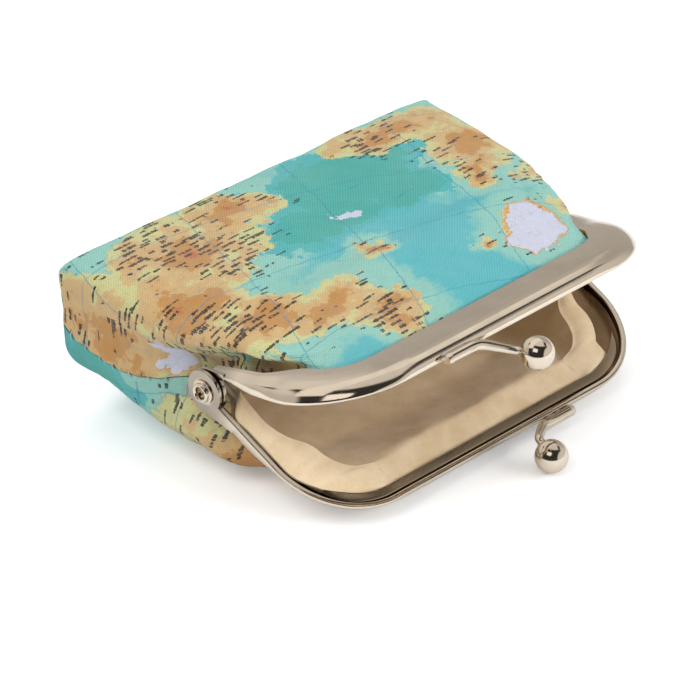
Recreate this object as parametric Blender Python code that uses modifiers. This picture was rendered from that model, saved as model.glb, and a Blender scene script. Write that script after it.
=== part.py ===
"""A coin purse with a pressed metal kiss-lock frame, open and lying on its lower panel.

The frame has two U-shaped halves of pressed sheet that turn on a tubular rivet at each side. Each
half carries a bent stem with a ball, and the balls pass each other when the frame shuts. A thin
metal strip inside each half holds the edge of the bag: canvas outside, padding, lining inside.

Sizes are in metres. X runs along the hinge, the mouth faces -Y, and the purse lies on z = 0.
"""

import math

import bmesh
import bpy
from mathutils import Matrix, Vector

# Frame halves
FRAME_WIDTH = 0.0800
ARM_LENGTH = 0.0334
CORNER_RADIUS = 0.0151
PLATE_WIDTH = 0.0078
ARM_PLATE_WIDTH = 0.0036
PLATE_RISE = 0.0034
SHEET = 0.0006
RIM_THICKNESS = 0.0010
RIM_HEIGHT = 0.0012
MATING_GAP = 0.0003
NARROW_REACH = 0.0110
WIDE_REACH = 0.0190
PLATE_SHARES = ((0.0, 0.0), (0.04, 0.34), (0.14, 0.58), (0.36, 0.80), (0.66, 0.94), (1.0, 1.0))
INNER_SHARES = (1.0, 0.6, 0.25, 0.0)
BEAD_SHARE = 0.25
ARM_STEPS = 9
CORNER_STEPS = 11

# Hinge ears and rivets
EAR_RADIUS = 0.0034
EAR_THICKNESS = 0.0007
EAR_STEP = 0.0011
EAR_PROUD = 0.0001
NECK_REACH = 0.0082
NECK_SHARE = 0.35
UPPER_PLATE_START = 0.0008
LOWER_PLATE_START = 0.0056
STEP_END = 0.0105
RIM_LIFT = 0.0011
LIFT_END = 0.0180
RIVET_RADIUS = 0.0015
RIVET_BORE_RADIUS = 0.0010
RIVET_RIM_RADIUS = 0.0022
RIVET_RIM_HEIGHT = 0.0008
RIVET_FLARE_RADIUS = 0.0021
RIVET_FLARE_LENGTH = 0.0006
RUNNING_GAP = 0.00015

# How far each half leans from level, as the purse lies open
UPPER_TILT = math.radians(16.2)
LOWER_TILT = math.radians(24.3)

# Clasp
BALL_RADIUS = 0.0029
BALL_OUT = 0.0080
BALL_LEAN = 0.0027
BALL_SIDE = 0.0030
BALL_SOCKET_DEPTH = 0.0010
STEM_RADIUS = 0.00095
STEM_NECK_RADIUS = 0.00073
STEM_END_SIDE = 0.0166
STEM_BEND_SIDE = 0.0092
STEM_KNEE_SIDE = 0.0039
STEM_KNEE_OUT = 0.0028
STEM_KNEE_LEAN = 0.0024
STEM_RISE = 0.0006

# Channel strip
STRIP_THICKNESS = 0.0003
STRIP_HEIGHT = 0.00045
STRIP_INSET = 0.0015
STRIP_INNER = 0.0044
STRIP_START = 0.0275

# Bag
BAG_OVERHANG = 0.0026
BAG_DEPTH = 0.0304
BAG_SKEW = 0.0013
BAG_TOP = 0.0300
CANVAS_THICKNESS = 0.0004
PADDING_THICKNESS = 0.0008
LINING_THICKNESS = 0.00035
LAYER_GAP = 0.00025
SEAM_GAP = 0.0003
CLAMP_INSET = 0.0030
CLAMP_HEIGHT = 0.0019
CLAMP_START = 0.0100
CLAMP_FULL = 0.0125
FREE_DROP = 0.0008
FREE_END = 0.0090
LINING_INSET = 0.0064
LINING_TUCK_START = 0.0205
LINING_TUCK_END = 0.0255
FLARE_CLEAR = 0.0007
FLARE_START = 0.0028
FLARE_LENGTH = 0.0070
FOOT_HEIGHT = 0.0020
SINK_START_SHARE = 0.35
PADDED_FROM = 4
HINGE_CLEAR = 0.0013

# Columns of a row: heights up its side, then places across its top, as shares of its corner
SIDE_SHARES = (0.0, 0.14, 0.30, 0.50, 0.76, 1.0)
TOP_SHARES = (0.92, 0.70, 0.38, 0.0)

# Rows over the frame, front first: reach, and how far each one leans with its half of the frame
FRONT_SHARES = (
    (0.910, 1.0), (0.870, 1.0), (0.815, 1.0), (0.766, 1.0), (0.735, 1.0), (0.685, 1.0),
    (0.610, 0.95), (0.510, 0.85), (0.405, 0.70), (0.300, 0.50), (0.195, 0.30), (0.090, 0.12),
)

# Rows behind the hinge: distance, half-width at the seam between the hinge's and the bag's, height
# of the seam
REAR_SHARES = (
    (0.10, 0.0, 0.575), (0.21, 0.24, 0.560), (0.34, 0.67, 0.530), (0.50, 0.93, 0.510),
    (0.68, 1.00, 0.520), (0.84, 1.00, 0.550), (0.95, 0.99, 0.575), (0.99, 0.97, 0.600),
    (1.0, 0.94, 0.625), (1.0, 0.90, 0.630),
)

# For each row of each panel: rise over the frame or height behind the hinge, widest half-width,
# and squareness, where 2 is a half ellipse
UPPER_FRONT_SHARES = (
    (0.0, 0.0, 2.5), (0.0, 0.0, 2.5), (0.0, 0.0, 2.5), (0.0, 0.0, 2.5), (0.045, 0.0, 2.5),
    (0.090, 0.0, 2.5), (0.143, 0.0, 2.6), (0.203, 0.77, 2.9), (0.257, 0.845, 3.3),
    (0.303, 0.890, 4.0), (0.343, 0.940, 5.0), (0.373, 0.980, 6.0),
)
UPPER_REAR_SHARES = (
    (1.020, 0.990, 7.0), (1.020, 1.000, 8.0), (1.018, 1.004, 9.0), (1.015, 1.007, 11.0),
    (1.010, 1.010, 14.0), (1.005, 1.012, 18.0), (1.003, 1.014, 22.0), (1.000, 1.016, 24.0),
    (0.930, 1.010, 24.0), (0.630, 0.985, 24.0),
)
LOWER_FRONT_SHARES = (
    (0.0, 0.0, 2.5), (0.0, 0.0, 2.5), (0.0, 0.0, 2.5), (0.0, 0.0, 2.5), (0.048, 0.0, 2.5),
    (0.105, 0.0, 2.5), (0.190, 0.76, 2.6), (0.290, 0.79, 2.8), (0.380, 0.830, 3.0),
    (0.450, 0.890, 3.0), (0.510, 0.950, 3.0), (0.560, 0.985, 3.0),
)
LOWER_REAR_SHARES = (
    (-0.040, 0.992, 3.0), (-0.040, 0.998, 3.0), (-0.040, 1.003, 2.8), (-0.040, 1.004, 2.5),
    (-0.030, 1.004, 2.3), (0.010, 1.003, 2.3), (0.110, 1.000, 3.0), (0.250, 0.995, 4.5),
    (0.420, 0.990, 6.0), (0.630, 0.985, 6.0),
)

# Working values
OVERRUN = 0.0010
ROUND_SIDES = 24
MERGE = 0.00001
NICKEL = (0.60, 0.55, 0.49)
CANVAS = (0.32, 0.62, 0.60)
FLEECE = (0.80, 0.78, 0.74)
SUEDE = (0.72, 0.63, 0.53)

BALL_REACH = ARM_LENGTH + BALL_OUT
BALL_TOUCH = BALL_RADIUS + BALL_REACH * math.sin(LOWER_TILT) - BALL_LEAN * math.cos(LOWER_TILT)
HINGE_HEIGHT = BALL_TOUCH
FRONT_REACH = BALL_REACH * math.cos(UPPER_TILT) + BALL_LEAN * math.sin(UPPER_TILT) + BALL_RADIUS
HINGE_Y = (FRONT_REACH - BAG_DEPTH - BAG_SKEW) / 2
BAG_HALF_WIDTH = FRAME_WIDTH / 2 + BAG_OVERHANG
RIVET_SEAT = FRAME_WIDTH / 2 + EAR_PROUD - EAR_STEP - EAR_THICKNESS - RUNNING_GAP
HINGE_HALF_WIDTH = RIVET_SEAT - RIVET_FLARE_LENGTH - HINGE_CLEAR
STRAIGHT = ARM_LENGTH - CORNER_RADIUS
BEND = CORNER_RADIUS * math.pi / 2


def clear_scene():
    for obj in list(bpy.data.objects):
        bpy.data.objects.remove(obj, do_unlink=True)


def make_collection(name, hidden=False):
    collection = bpy.data.collections.new(name)
    bpy.context.scene.collection.children.link(collection)
    collection.hide_render = hidden
    return collection


def make_material(name, colour, roughness, metallic=0.0):
    material = bpy.data.materials.new(name)
    material.use_nodes = True
    shader = material.node_tree.nodes["Principled BSDF"]
    shader.inputs["Base Color"].default_value = (*colour, 1.0)
    shader.inputs["Roughness"].default_value = roughness
    shader.inputs["Metallic"].default_value = metallic
    return material


def add_object(name, mesh, parent, collection, material=None):
    obj = bpy.data.objects.new(name, mesh)
    collection.objects.link(obj)
    obj.parent = parent
    if material:
        mesh.materials.append(material)
    return obj


def mark_cutter(obj):
    obj.hide_render = True
    obj.display_type = "WIRE"
    return obj


def smooth(value, low, high):
    """0 below low, 1 above high, and an even S between them."""
    share = min(max((value - low) / (high - low), 0.0), 1.0)
    return share * share * (3 - 2 * share)


def blend(low, high, share):
    return low + (high - low) * share


def boolean(obj, other, operation):
    modifier = obj.modifiers.new(operation.title() + " " + other.name, "BOOLEAN")
    modifier.operation = operation
    modifier.solver = "EXACT"
    modifier.object = other


def finish_mesh(builder, name):
    bmesh.ops.remove_doubles(builder, verts=builder.verts, dist=MERGE)
    bmesh.ops.recalc_face_normals(builder, faces=builder.faces)
    mesh = bpy.data.meshes.new(name)
    builder.to_mesh(mesh)
    builder.free()
    mesh.shade_smooth()
    mesh.set_sharp_from_angle(angle=math.radians(40))
    return mesh


def loft(name, rings, split=False):
    """A closed skin over a list of rings, each with the same number of points.

    With split, a ring is an outer row and an inner row, and each quad is cut along the diagonal that
    spreads from the middle as the rows go on, so that skins inside each other keep their spacing.
    """
    builder = bmesh.new()
    rows = [[builder.verts.new(point) for point in ring] for ring in rings]
    last = len(rings[0]) - 1
    middle = (last - 1) / 4
    spread = [abs(min(i, last - i) - middle) for i in range(last + 1)]
    for first, second in zip(rows, rows[1:]):
        for i in range(len(first)):
            j = (i + 1) % len(first)
            quad = [first[i], first[j], second[j], second[i]]
            if not split:
                builder.faces.new(quad)
                continue
            if spread[i] > spread[j]:
                quad = quad[1:] + quad[:1]
            builder.faces.new((quad[0], quad[1], quad[2]))
            builder.faces.new((quad[0], quad[2], quad[3]))
    builder.faces.new(rows[0])
    builder.faces.new(list(reversed(rows[-1])))
    return finish_mesh(builder, name)


# Each half has its own frame: X along the hinge, -Y towards the front bar, +Z out of the mouth's plane.


def half_point(side, reach, height):
    return Vector((side, -reach, height))


def outline_place(run, inset):
    """The (side, reach) at this distance along the left half of the U, moved in by inset."""
    corner = FRAME_WIDTH / 2 - CORNER_RADIUS
    if run <= STRAIGHT:
        return -FRAME_WIDTH / 2 + inset, run
    angle = (run - STRAIGHT) / CORNER_RADIUS
    if angle < math.pi / 2:
        radius = CORNER_RADIUS - inset
        return -corner - radius * math.cos(angle), STRAIGHT + radius * math.sin(angle)
    beyond = run - STRAIGHT - BEND
    return -corner + beyond, ARM_LENGTH - inset


def outline_runs(start, arm_steps, corner_steps):
    """Distances along the U from a start on the left arm or corner to the middle of the front bar."""
    runs = []
    if start < STRAIGHT:
        runs = [blend(start, STRAIGHT, i / arm_steps) for i in range(arm_steps)]
    bend_start = max(start, STRAIGHT)
    bend_end = STRAIGHT + BEND
    runs += [blend(bend_start, bend_end, i / corner_steps) for i in range(corner_steps + 1)]
    runs.append(bend_end + FRAME_WIDTH / 2 - CORNER_RADIUS)
    return runs


def plate_width(run):
    return blend(ARM_PLATE_WIDTH, PLATE_WIDTH, smooth(run, NARROW_REACH, WIDE_REACH))


def plate_height(share, rim_top):
    """Height of the plate's outer face at this share of its width from the rim."""
    for (low, low_height), (high, high_height) in zip(PLATE_SHARES, PLATE_SHARES[1:]):
        if share <= high:
            rise = blend(low_height, high_height, (share - low) / (high - low))
            return blend(rim_top, PLATE_RISE, rise)
    return PLATE_RISE


def shell_rings(start, step, lift):
    """Rings of the pressed sheet. Near the ear it steps in by step and its rim lifts by lift."""
    rings = []
    bead = BEAD_SHARE * RIM_THICKNESS
    for run in outline_runs(start, ARM_STEPS, CORNER_STEPS):
        stepped = step * (1 - smooth(run, NECK_REACH - EAR_STEP, STEP_END))
        base = MATING_GAP / 2 + lift * (1 - smooth(run, NECK_REACH, LIFT_END))
        base += lift * (1 - smooth(run, EAR_RADIUS - OVERRUN, NECK_REACH - EAR_STEP))
        width = plate_width(run) - stepped
        rim_top = max(RIM_HEIGHT, base + 2 * bead)
        section = [(bead, base), (0.0, base + bead)]
        section += [(width * share, plate_height(share, rim_top)) for share, _ in PLATE_SHARES]
        for inner_share in INNER_SHARES:
            inset = blend(RIM_THICKNESS, width, inner_share)
            section.append((inset, plate_height(inset / width, rim_top) - SHEET))
        section += [(RIM_THICKNESS, base + bead), (RIM_THICKNESS - bead, base)]
        places = [(outline_place(run, stepped + inset), height) for inset, height in section]
        rings.append([(side, reach, height) for (side, reach), height in places])
    return rings


def mirrored_rings(rings):
    """The left half's rings, from the ear to the middle, and then back out to the right ear."""
    left = [[half_point(*place) for place in ring] for ring in rings]
    right = [[half_point(-side, reach, height) for side, reach, height in ring] for ring in rings[:-1]]
    return left + list(reversed(right))


def ear_outline(neck_low, neck_high):
    """The ear's disc with a neck that narrows to the arm, as (reach, height) points."""
    ends = [(NECK_REACH, neck_low), (NECK_REACH, neck_high)]
    low_angle = math.atan2(neck_low, NECK_REACH) - math.acos(EAR_RADIUS / math.hypot(*ends[0]))
    high_angle = math.atan2(neck_high, NECK_REACH) + math.acos(EAR_RADIUS / math.hypot(*ends[1]))
    points = []
    for i in range(ROUND_SIDES + 1):
        angle = blend(high_angle, low_angle + 2 * math.pi, i / ROUND_SIDES)
        points.append((EAR_RADIUS * math.cos(angle), EAR_RADIUS * math.sin(angle)))
    return points + ends


def flat_plate(name, outline, thickness):
    """A flat outline with thickness, as a mesh: the curve's caps are welded to its sides."""
    curve = bpy.data.curves.new(name, "CURVE")
    curve.dimensions = "2D"
    curve.fill_mode = "BOTH"
    curve.extrude = thickness / 2
    spline = curve.splines.new("POLY")
    spline.points.add(len(outline) - 1)
    for point, (x, y) in zip(spline.points, outline):
        point.co = (x, y, 0.0, 1.0)
    spline.use_cyclic_u = True
    return mesh_of_curve(name, curve)


def mesh_of_curve(name, curve):
    holder = bpy.data.objects.new(name, curve)
    bpy.context.scene.collection.objects.link(holder)
    graph = bpy.context.evaluated_depsgraph_get()
    mesh = bpy.data.meshes.new_from_object(holder.evaluated_get(graph))
    bpy.data.objects.remove(holder, do_unlink=True)
    builder = bmesh.new()
    builder.from_mesh(mesh)
    return finish_mesh(builder, name)


def turned(name, profile, parent, collection, material=None, sides=ROUND_SIDES):
    """A profile of (radius, height), top first, turned round the local Z axis."""
    mesh = bpy.data.meshes.new(name)
    edges = [(i, (i + 1) % len(profile)) for i in range(len(profile))]
    mesh.from_pydata([(radius, 0.0, height) for radius, height in profile], edges, [])
    obj = add_object(name, mesh, parent, collection, material)
    screw = obj.modifiers.new("Turn", "SCREW")
    screw.steps = sides
    screw.render_steps = sides
    screw.use_merge_vertices = True
    screw.merge_threshold = MERGE
    return obj


def cylinder(name, radius, length, parent, collection):
    builder = bmesh.new()
    bmesh.ops.create_cone(
        builder, cap_ends=True, segments=ROUND_SIDES, radius1=radius, radius2=radius, depth=length
    )
    return add_object(name, finish_mesh(builder, name), parent, collection)


SIDE_TURN = Matrix.Rotation(math.pi / 2, 4, "Y")


def ear_place(side, offset):
    """Turns a plate drawn in (reach, height) so that it stands across the hinge line at this offset."""
    turn = Matrix(((0, 0, -1, 0), (-1, 0, 0, 0), (0, 1, 0, 0), (0, 0, 0, 1)))
    return Matrix.Translation((side * offset, 0.0, 0.0)) @ turn


def build_frame(name, parent, is_upper, parts, cutters, material):
    start = UPPER_PLATE_START if is_upper else LOWER_PLATE_START
    step = EAR_STEP if is_upper else 0.0
    lift = RIM_LIFT if is_upper else 0.0
    frame = add_object(name, loft(name, mirrored_rings(shell_rings(start, step, lift))), parent, parts)
    frame.data.materials.append(material)
    neck_low = MATING_GAP / 2 + lift + BEAD_SHARE * RIM_THICKNESS
    neck_high = blend(RIM_HEIGHT + lift / 2, PLATE_RISE, NECK_SHARE)
    outline = ear_outline(neck_low, neck_high)
    offset = FRAME_WIDTH / 2 + EAR_PROUD - EAR_THICKNESS / 2 - step
    for label, side in (("left", -1), ("right", 1)):
        ear_mesh = flat_plate(name + "_ear_" + label, outline, EAR_THICKNESS)
        ear = mark_cutter(add_object(name + "_ear_" + label, ear_mesh, parent, cutters))
        ear.matrix_local = ear_place(side, offset)
        boolean(frame, ear, "UNION")
    for label, side in (("left", -1), ("right", 1)):
        hole_name = name + "_hole_" + label
        hole = cylinder(hole_name, RIVET_RADIUS + RUNNING_GAP, EAR_THICKNESS + OVERRUN, parent, cutters)
        mark_cutter(hole).matrix_local = Matrix.Translation((side * offset, 0.0, 0.0)) @ SIDE_TURN
        boolean(frame, hole, "DIFFERENCE")
    return frame


def build_strip(name, parent, parts, material):
    """The U-shaped band inside a half, between the rim and the plate's inner edge."""
    low = STRIP_HEIGHT
    high = STRIP_HEIGHT + STRIP_THICKNESS
    section = ((STRIP_INSET, low), (STRIP_INSET, high), (STRIP_INNER, high), (STRIP_INNER, low))
    rings = []
    for run in outline_runs(STRIP_START, ARM_STEPS, CORNER_STEPS // 2):
        rings.append([(*outline_place(run, inset), height) for inset, height in section])
    return add_object(name, loft(name, mirrored_rings(rings)), parent, parts, material)


def ball_centre():
    return half_point(-BALL_SIDE, BALL_REACH, -BALL_LEAN)


def stem_points():
    """The rod's middle line: its cut end, the bend off the bar, the knee and the tip in the ball."""
    along = ARM_LENGTH + STEM_RADIUS + RUNNING_GAP
    end = half_point(-STEM_END_SIDE, along, STEM_RISE)
    bend = half_point(-STEM_BEND_SIDE, along, STEM_RISE)
    knee = half_point(-STEM_KNEE_SIDE, along + STEM_KNEE_OUT, -STEM_KNEE_LEAN)
    into_ball = (ball_centre() - knee).normalized()
    tip = ball_centre() - into_ball * (BALL_RADIUS - BALL_SOCKET_DEPTH + RUNNING_GAP)
    return end, bend, knee, tip


def build_stem(name, parent, parts, material):
    end, bend, knee, tip = stem_points()
    curve = bpy.data.curves.new(name, "CURVE")
    curve.dimensions = "3D"
    curve.bevel_depth = STEM_RADIUS
    curve.bevel_resolution = 3
    curve.use_fill_caps = True
    neck_share = STEM_NECK_RADIUS / STEM_RADIUS
    before = bend + (end - bend).normalized() * STEM_RADIUS
    after = bend.lerp(knee, 0.5)
    route = [
        (end, 1.0),
        (before, 1.0),
        ((before + 2 * bend + after) / 4, 1.0),
        (after, blend(neck_share, 1.0, 0.8)),
        (knee, blend(neck_share, 1.0, 0.4)),
        (knee.lerp(tip, 0.3), neck_share),
        (tip, neck_share),
    ]
    spline = curve.splines.new("POLY")
    spline.points.add(len(route) - 1)
    for point, (place, radius) in zip(spline.points, route):
        point.co = (*place, 1.0)
        point.radius = radius
    return add_object(name, mesh_of_curve(name, curve), parent, parts, material)


def build_ball(name, parent, parts, cutters, material):
    builder = bmesh.new()
    bmesh.ops.create_uvsphere(builder, u_segments=20, v_segments=12, radius=BALL_RADIUS)
    ball = add_object(name, finish_mesh(builder, name), parent, parts, material)
    knee = stem_points()[2]
    towards = (knee - ball_centre()).normalized()
    turn = towards.to_track_quat("Z", "Y").to_matrix().to_4x4()
    ball.matrix_local = Matrix.Translation(ball_centre()) @ turn
    depth = BALL_SOCKET_DEPTH + OVERRUN
    socket = cylinder(name + "_socket", STEM_NECK_RADIUS + RUNNING_GAP, depth, parent, cutters)
    middle = BALL_RADIUS - BALL_SOCKET_DEPTH + depth / 2
    mark_cutter(socket).matrix_local = Matrix.Translation(ball_centre() + towards * middle) @ turn
    boolean(ball, socket, "DIFFERENCE")
    return ball


def build_rivet(name, side, parent, parts, material):
    """A tubular rivet: a rolled rim outside the lower ear and a flare inside the upper ear."""
    outer_face = FRAME_WIDTH / 2 + EAR_PROUD + RUNNING_GAP
    inner_face = RIVET_SEAT
    rim_top = outer_face + RIVET_RIM_HEIGHT
    bore = RIVET_BORE_RADIUS
    flare = inner_face - RIVET_FLARE_LENGTH
    profile = [
        (blend(bore, RIVET_RIM_RADIUS, 0.15), blend(outer_face, rim_top, 0.75)),
        (blend(bore, RIVET_RIM_RADIUS, 0.40), rim_top),
        (blend(bore, RIVET_RIM_RADIUS, 0.70), rim_top),
        (blend(bore, RIVET_RIM_RADIUS, 0.93), blend(outer_face, rim_top, 0.70)),
        (RIVET_RIM_RADIUS, blend(outer_face, rim_top, 0.35)),
        (blend(bore, RIVET_RIM_RADIUS, 0.93), outer_face),
        (RIVET_RADIUS, outer_face),
        (RIVET_RADIUS, inner_face),
        (RIVET_FLARE_RADIUS, blend(inner_face, flare, 0.4)),
        (blend(RIVET_RADIUS, RIVET_FLARE_RADIUS, 0.7), flare),
        (blend(bore, RIVET_RADIUS, 0.6), blend(inner_face, flare, 0.3)),
        (bore, inner_face),
        (bore, blend(inner_face, outer_face, 0.9)),
    ]
    rivet = turned(name, profile, parent, parts, material)
    rivet.matrix_local = Matrix.Rotation(side * math.pi / 2, 4, "Y")
    return rivet


# The bag. Each panel is a loft of rows that run across the purse. A row stands on its edges, at the
# frame or at the side seam, and arches between them.


def channel_half_width(reach, inset):
    """Half the width of the U at this reach, measured to a line this far in from the rim."""
    if reach <= STRAIGHT:
        return FRAME_WIDTH / 2 - inset
    radius = CORNER_RADIUS - inset
    across = max(radius * radius - (reach - STRAIGHT) ** 2, 0.0)
    return FRAME_WIDTH / 2 - CORNER_RADIUS + math.sqrt(across)


def reach_run(reach):
    """The distance along the U of a point on the arm or corner at this reach."""
    if reach <= STRAIGHT:
        return reach
    return STRAIGHT + CORNER_RADIUS * math.asin(min((reach - STRAIGHT) / CORNER_RADIUS, 1.0))


def superellipse(share, squareness):
    """The other coordinate of a point on a unit superellipse."""
    return max(1 - share ** squareness, 0.0) ** (1 / squareness)


def arch(foot, belly, flare_start, rise, most, squareness, depth, drop):
    """(across, up) points from left to right over an arch, this depth inside the outermost one.

    It stands on feet that are lower by drop, flares to its belly and is cut off flat at most.
    """
    corner = 0.5 ** (1 / squareness)
    side = [(superellipse(corner * share, squareness), corner * share) for share in SIDE_SHARES]
    top = [(corner * share, superellipse(corner * share, squareness)) for share in TOP_SHARES]
    half = []
    for across, up_share in side + top:
        up = min(rise * up_share, most)
        width = blend(foot, belly, smooth(up, flare_start, flare_start + FLARE_LENGTH))
        sunk = smooth(up_share, SINK_START_SHARE, 1.0)
        at_foot = drop * (1 - smooth(up, 0.0, FOOT_HEIGHT))
        half.append(((width - depth) * across, max(up - blend(at_foot, depth, sunk), -drop)))
    return [(-across, up) for across, up in half] + list(reversed(half[:-1]))


def front_row(place, shape, is_upper, depth, drop, inset):
    """A row over the frame, this depth inside the bag's surface and this drop inside it at the edge.

    The lower panel is pressed flat where the purse lies on it.
    """
    reach_share, lean = place
    rise_share, belly_share, squareness = shape
    reach = reach_share * ARM_LENGTH
    tilt = UPPER_TILT if is_upper else LOWER_TILT
    sign = 1 if is_upper else -1
    width = plate_width(reach_run(reach))
    foot = channel_half_width(reach, width + SEAM_GAP)
    belly = max(foot, belly_share * BAG_HALF_WIDTH)
    held = smooth(reach, CLAMP_START, CLAMP_FULL)
    margin = max(foot - depth, blend(foot - depth, channel_half_width(reach, inset), held))
    base = CLAMP_HEIGHT - FREE_DROP * (1 - smooth(reach, 0.0, FREE_END))
    rise = rise_share * BAG_TOP
    base_height = reach * math.sin(tilt) + base * math.cos(tilt)
    most = rise if is_upper else (HINGE_HEIGHT - base_height) / math.cos(lean * tilt)
    row = arch(foot, belly, PLATE_RISE + FLARE_CLEAR - base, rise, most, squareness, depth, drop)
    points = []
    for across, up in [(-margin, -drop), *row, (margin, -drop)]:
        y = -reach * math.cos(tilt) + base * math.sin(tilt) + up * math.sin(lean * tilt)
        z = base_height + up * math.cos(lean * tilt)
        points.append(Vector((across, y, HINGE_HEIGHT + sign * z)))
    return points


def rear_row(place, shape, is_upper, depth):
    """A row behind the hinge, which stands on the side seam."""
    y_share, spread_share, seam_share = place
    extreme_share, belly_share, squareness = shape
    sign = 1 if is_upper else -1
    seam = seam_share * BAG_TOP + sign * SEAM_GAP / 2
    rise = max(sign * (extreme_share * BAG_TOP - seam), 0.0)
    most = rise if is_upper else seam
    foot = blend(HINGE_HALF_WIDTH, BAG_HALF_WIDTH, spread_share)
    belly = belly_share * BAG_HALF_WIDTH
    row = arch(foot, belly, FLARE_START, rise, most, squareness, depth, 0.0)
    skew = BAG_SKEW * y_share * y_share / BAG_HALF_WIDTH
    points = []
    for across, up in [row[0], *row, row[-1]]:
        points.append(Vector((across, y_share * (BAG_DEPTH - depth) - skew * across, seam + sign * up)))
    return points


def skin(is_upper, depth, drop, inset_at, first):
    """The rows of a surface this deep inside the bag, front first."""
    front = UPPER_FRONT_SHARES if is_upper else LOWER_FRONT_SHARES
    rear = UPPER_REAR_SHARES if is_upper else LOWER_REAR_SHARES
    rows = []
    for place, shape in list(zip(FRONT_SHARES, front))[first:]:
        rows.append(front_row(place, shape, is_upper, depth, drop, inset_at(place[0] * ARM_LENGTH)))
    for place, shape in zip(REAR_SHARES, rear):
        rows.append(rear_row(place, shape, is_upper, depth))
    return rows


def canvas_inset(reach):
    """The canvas is held all along the channel, which is narrower on the arms."""
    return CLAMP_INSET * plate_width(reach_run(reach)) / PLATE_WIDTH


def lining_inset(reach):
    """The lining runs under the strip at the front and stops short of the channel on the arms."""
    return blend(LINING_INSET, CLAMP_INSET, smooth(reach, LINING_TUCK_START, LINING_TUCK_END))


def build_layer(name, is_upper, depths, drops, inset_at, first, material, parent, parts):
    """One layer of a panel: the space between an outer skin and an inner skin."""
    outer = skin(is_upper, depths[0], drops[0], inset_at, first)
    inner = skin(is_upper, depths[1], drops[1], inset_at, first)
    rings = []
    for outer_row, inner_row in zip(outer, inner):
        if first:
            outer_row = outer_row[1:-1]
            inner_row = inner_row[1:-1]
        rings.append(outer_row + list(reversed(inner_row)))
    lift = Vector((0.0, 0.0, HINGE_HEIGHT))
    rings = [[point - lift for point in ring] for ring in rings]
    return add_object(name, loft(name, rings, split=True), parent, parts, material)


def build_bag(is_upper, materials, parent, parts):
    label = "upper" if is_upper else "lower"
    canvas = (0.0, CANVAS_THICKNESS)
    padding_depth = CANVAS_THICKNESS + LAYER_GAP
    padding = (padding_depth, padding_depth + PADDING_THICKNESS)
    lining_depth = padding[1] + LAYER_GAP
    lining = (lining_depth, lining_depth + LINING_THICKNESS)
    lining_drop = (padding_depth, padding_depth + LINING_THICKNESS)
    padding_drop = (CANVAS_THICKNESS, CANVAS_THICKNESS)
    canvas_skin, padding_skin, lining_skin = materials
    build_layer(label + "_canvas", is_upper, canvas, canvas, canvas_inset, 0, canvas_skin, parent, parts)
    build_layer(
        label + "_padding", is_upper, padding, padding_drop, canvas_inset, PADDED_FROM, padding_skin,
        parent, parts,
    )
    build_layer(
        label + "_lining", is_upper, lining, lining_drop, lining_inset, 0, lining_skin, parent, parts
    )


def add_empty(name, rotation, collection):
    empty = bpy.data.objects.new(name, None)
    collection.objects.link(empty)
    place = Matrix.Translation((0.0, HINGE_Y, HINGE_HEIGHT))
    empty.matrix_world = place @ rotation
    return empty


def main():
    clear_scene()
    parts = make_collection("kiss_lock_coin_purse")
    cutters = make_collection("cutters", hidden=True)
    nickel = make_material("nickel_plate", NICKEL, 0.22, 1.0)
    cloths = (
        make_material("printed_canvas", CANVAS, 0.85),
        make_material("fleece", FLEECE, 0.95),
        make_material("brushed_lining", SUEDE, 0.90),
    )
    upper_half = add_empty("upper_half", Matrix.Rotation(-UPPER_TILT, 4, "X"), parts)
    face_down = Matrix.Rotation(LOWER_TILT, 4, "X") @ Matrix.Rotation(math.pi, 4, "Y")
    lower_half = add_empty("lower_half", face_down, parts)
    bag = add_empty("bag", Matrix.Identity(4), parts)
    for label, half in (("upper", upper_half), ("lower", lower_half)):
        build_frame(label + "_frame", half, label == "upper", parts, cutters, nickel)
        build_strip(label + "_strip", half, parts, nickel)
        build_stem(label + "_clasp_stem", half, parts, nickel)
        build_ball(label + "_clasp_ball", half, parts, cutters, nickel)
        build_bag(label == "upper", cloths, bag, parts)
    for label, side in (("left", -1), ("right", 1)):
        build_rivet(label + "_rivet", side, bag, parts, nickel)


main()
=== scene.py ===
"""Looks for the kiss-lock coin purse: metal, printed canvas, fleece, lining, thread and light.

Sizes are in metres unless a name ends in _MM. X runs along the hinge, the mouth faces -Y.
"""

import math
from types import SimpleNamespace

import bmesh
import bpy
import numpy as np
from mathutils import Matrix, Vector


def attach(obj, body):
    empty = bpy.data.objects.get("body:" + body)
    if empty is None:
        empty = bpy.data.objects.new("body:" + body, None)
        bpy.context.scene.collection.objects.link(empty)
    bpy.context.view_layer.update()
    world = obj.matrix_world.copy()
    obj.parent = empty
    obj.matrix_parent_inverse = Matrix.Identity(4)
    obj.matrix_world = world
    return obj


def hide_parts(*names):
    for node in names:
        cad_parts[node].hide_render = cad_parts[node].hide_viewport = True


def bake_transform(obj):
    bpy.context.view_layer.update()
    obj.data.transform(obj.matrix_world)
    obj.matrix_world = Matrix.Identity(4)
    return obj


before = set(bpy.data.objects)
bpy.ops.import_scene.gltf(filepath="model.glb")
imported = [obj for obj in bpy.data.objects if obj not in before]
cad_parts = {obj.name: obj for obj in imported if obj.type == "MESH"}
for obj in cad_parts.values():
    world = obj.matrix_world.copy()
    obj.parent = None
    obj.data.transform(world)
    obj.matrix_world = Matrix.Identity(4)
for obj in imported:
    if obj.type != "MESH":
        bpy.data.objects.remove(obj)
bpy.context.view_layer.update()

# Frame halves, as in the solids
FRAME_WIDTH = 0.0800
ARM_LENGTH = 0.0334
CORNER_RADIUS = 0.0151
PLATE_WIDTH = 0.0078
ARM_PLATE_WIDTH = 0.0036
PLATE_RISE = 0.0034
SHEET = 0.0006
RIM_THICKNESS = 0.0010
RIM_HEIGHT = 0.0012
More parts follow.
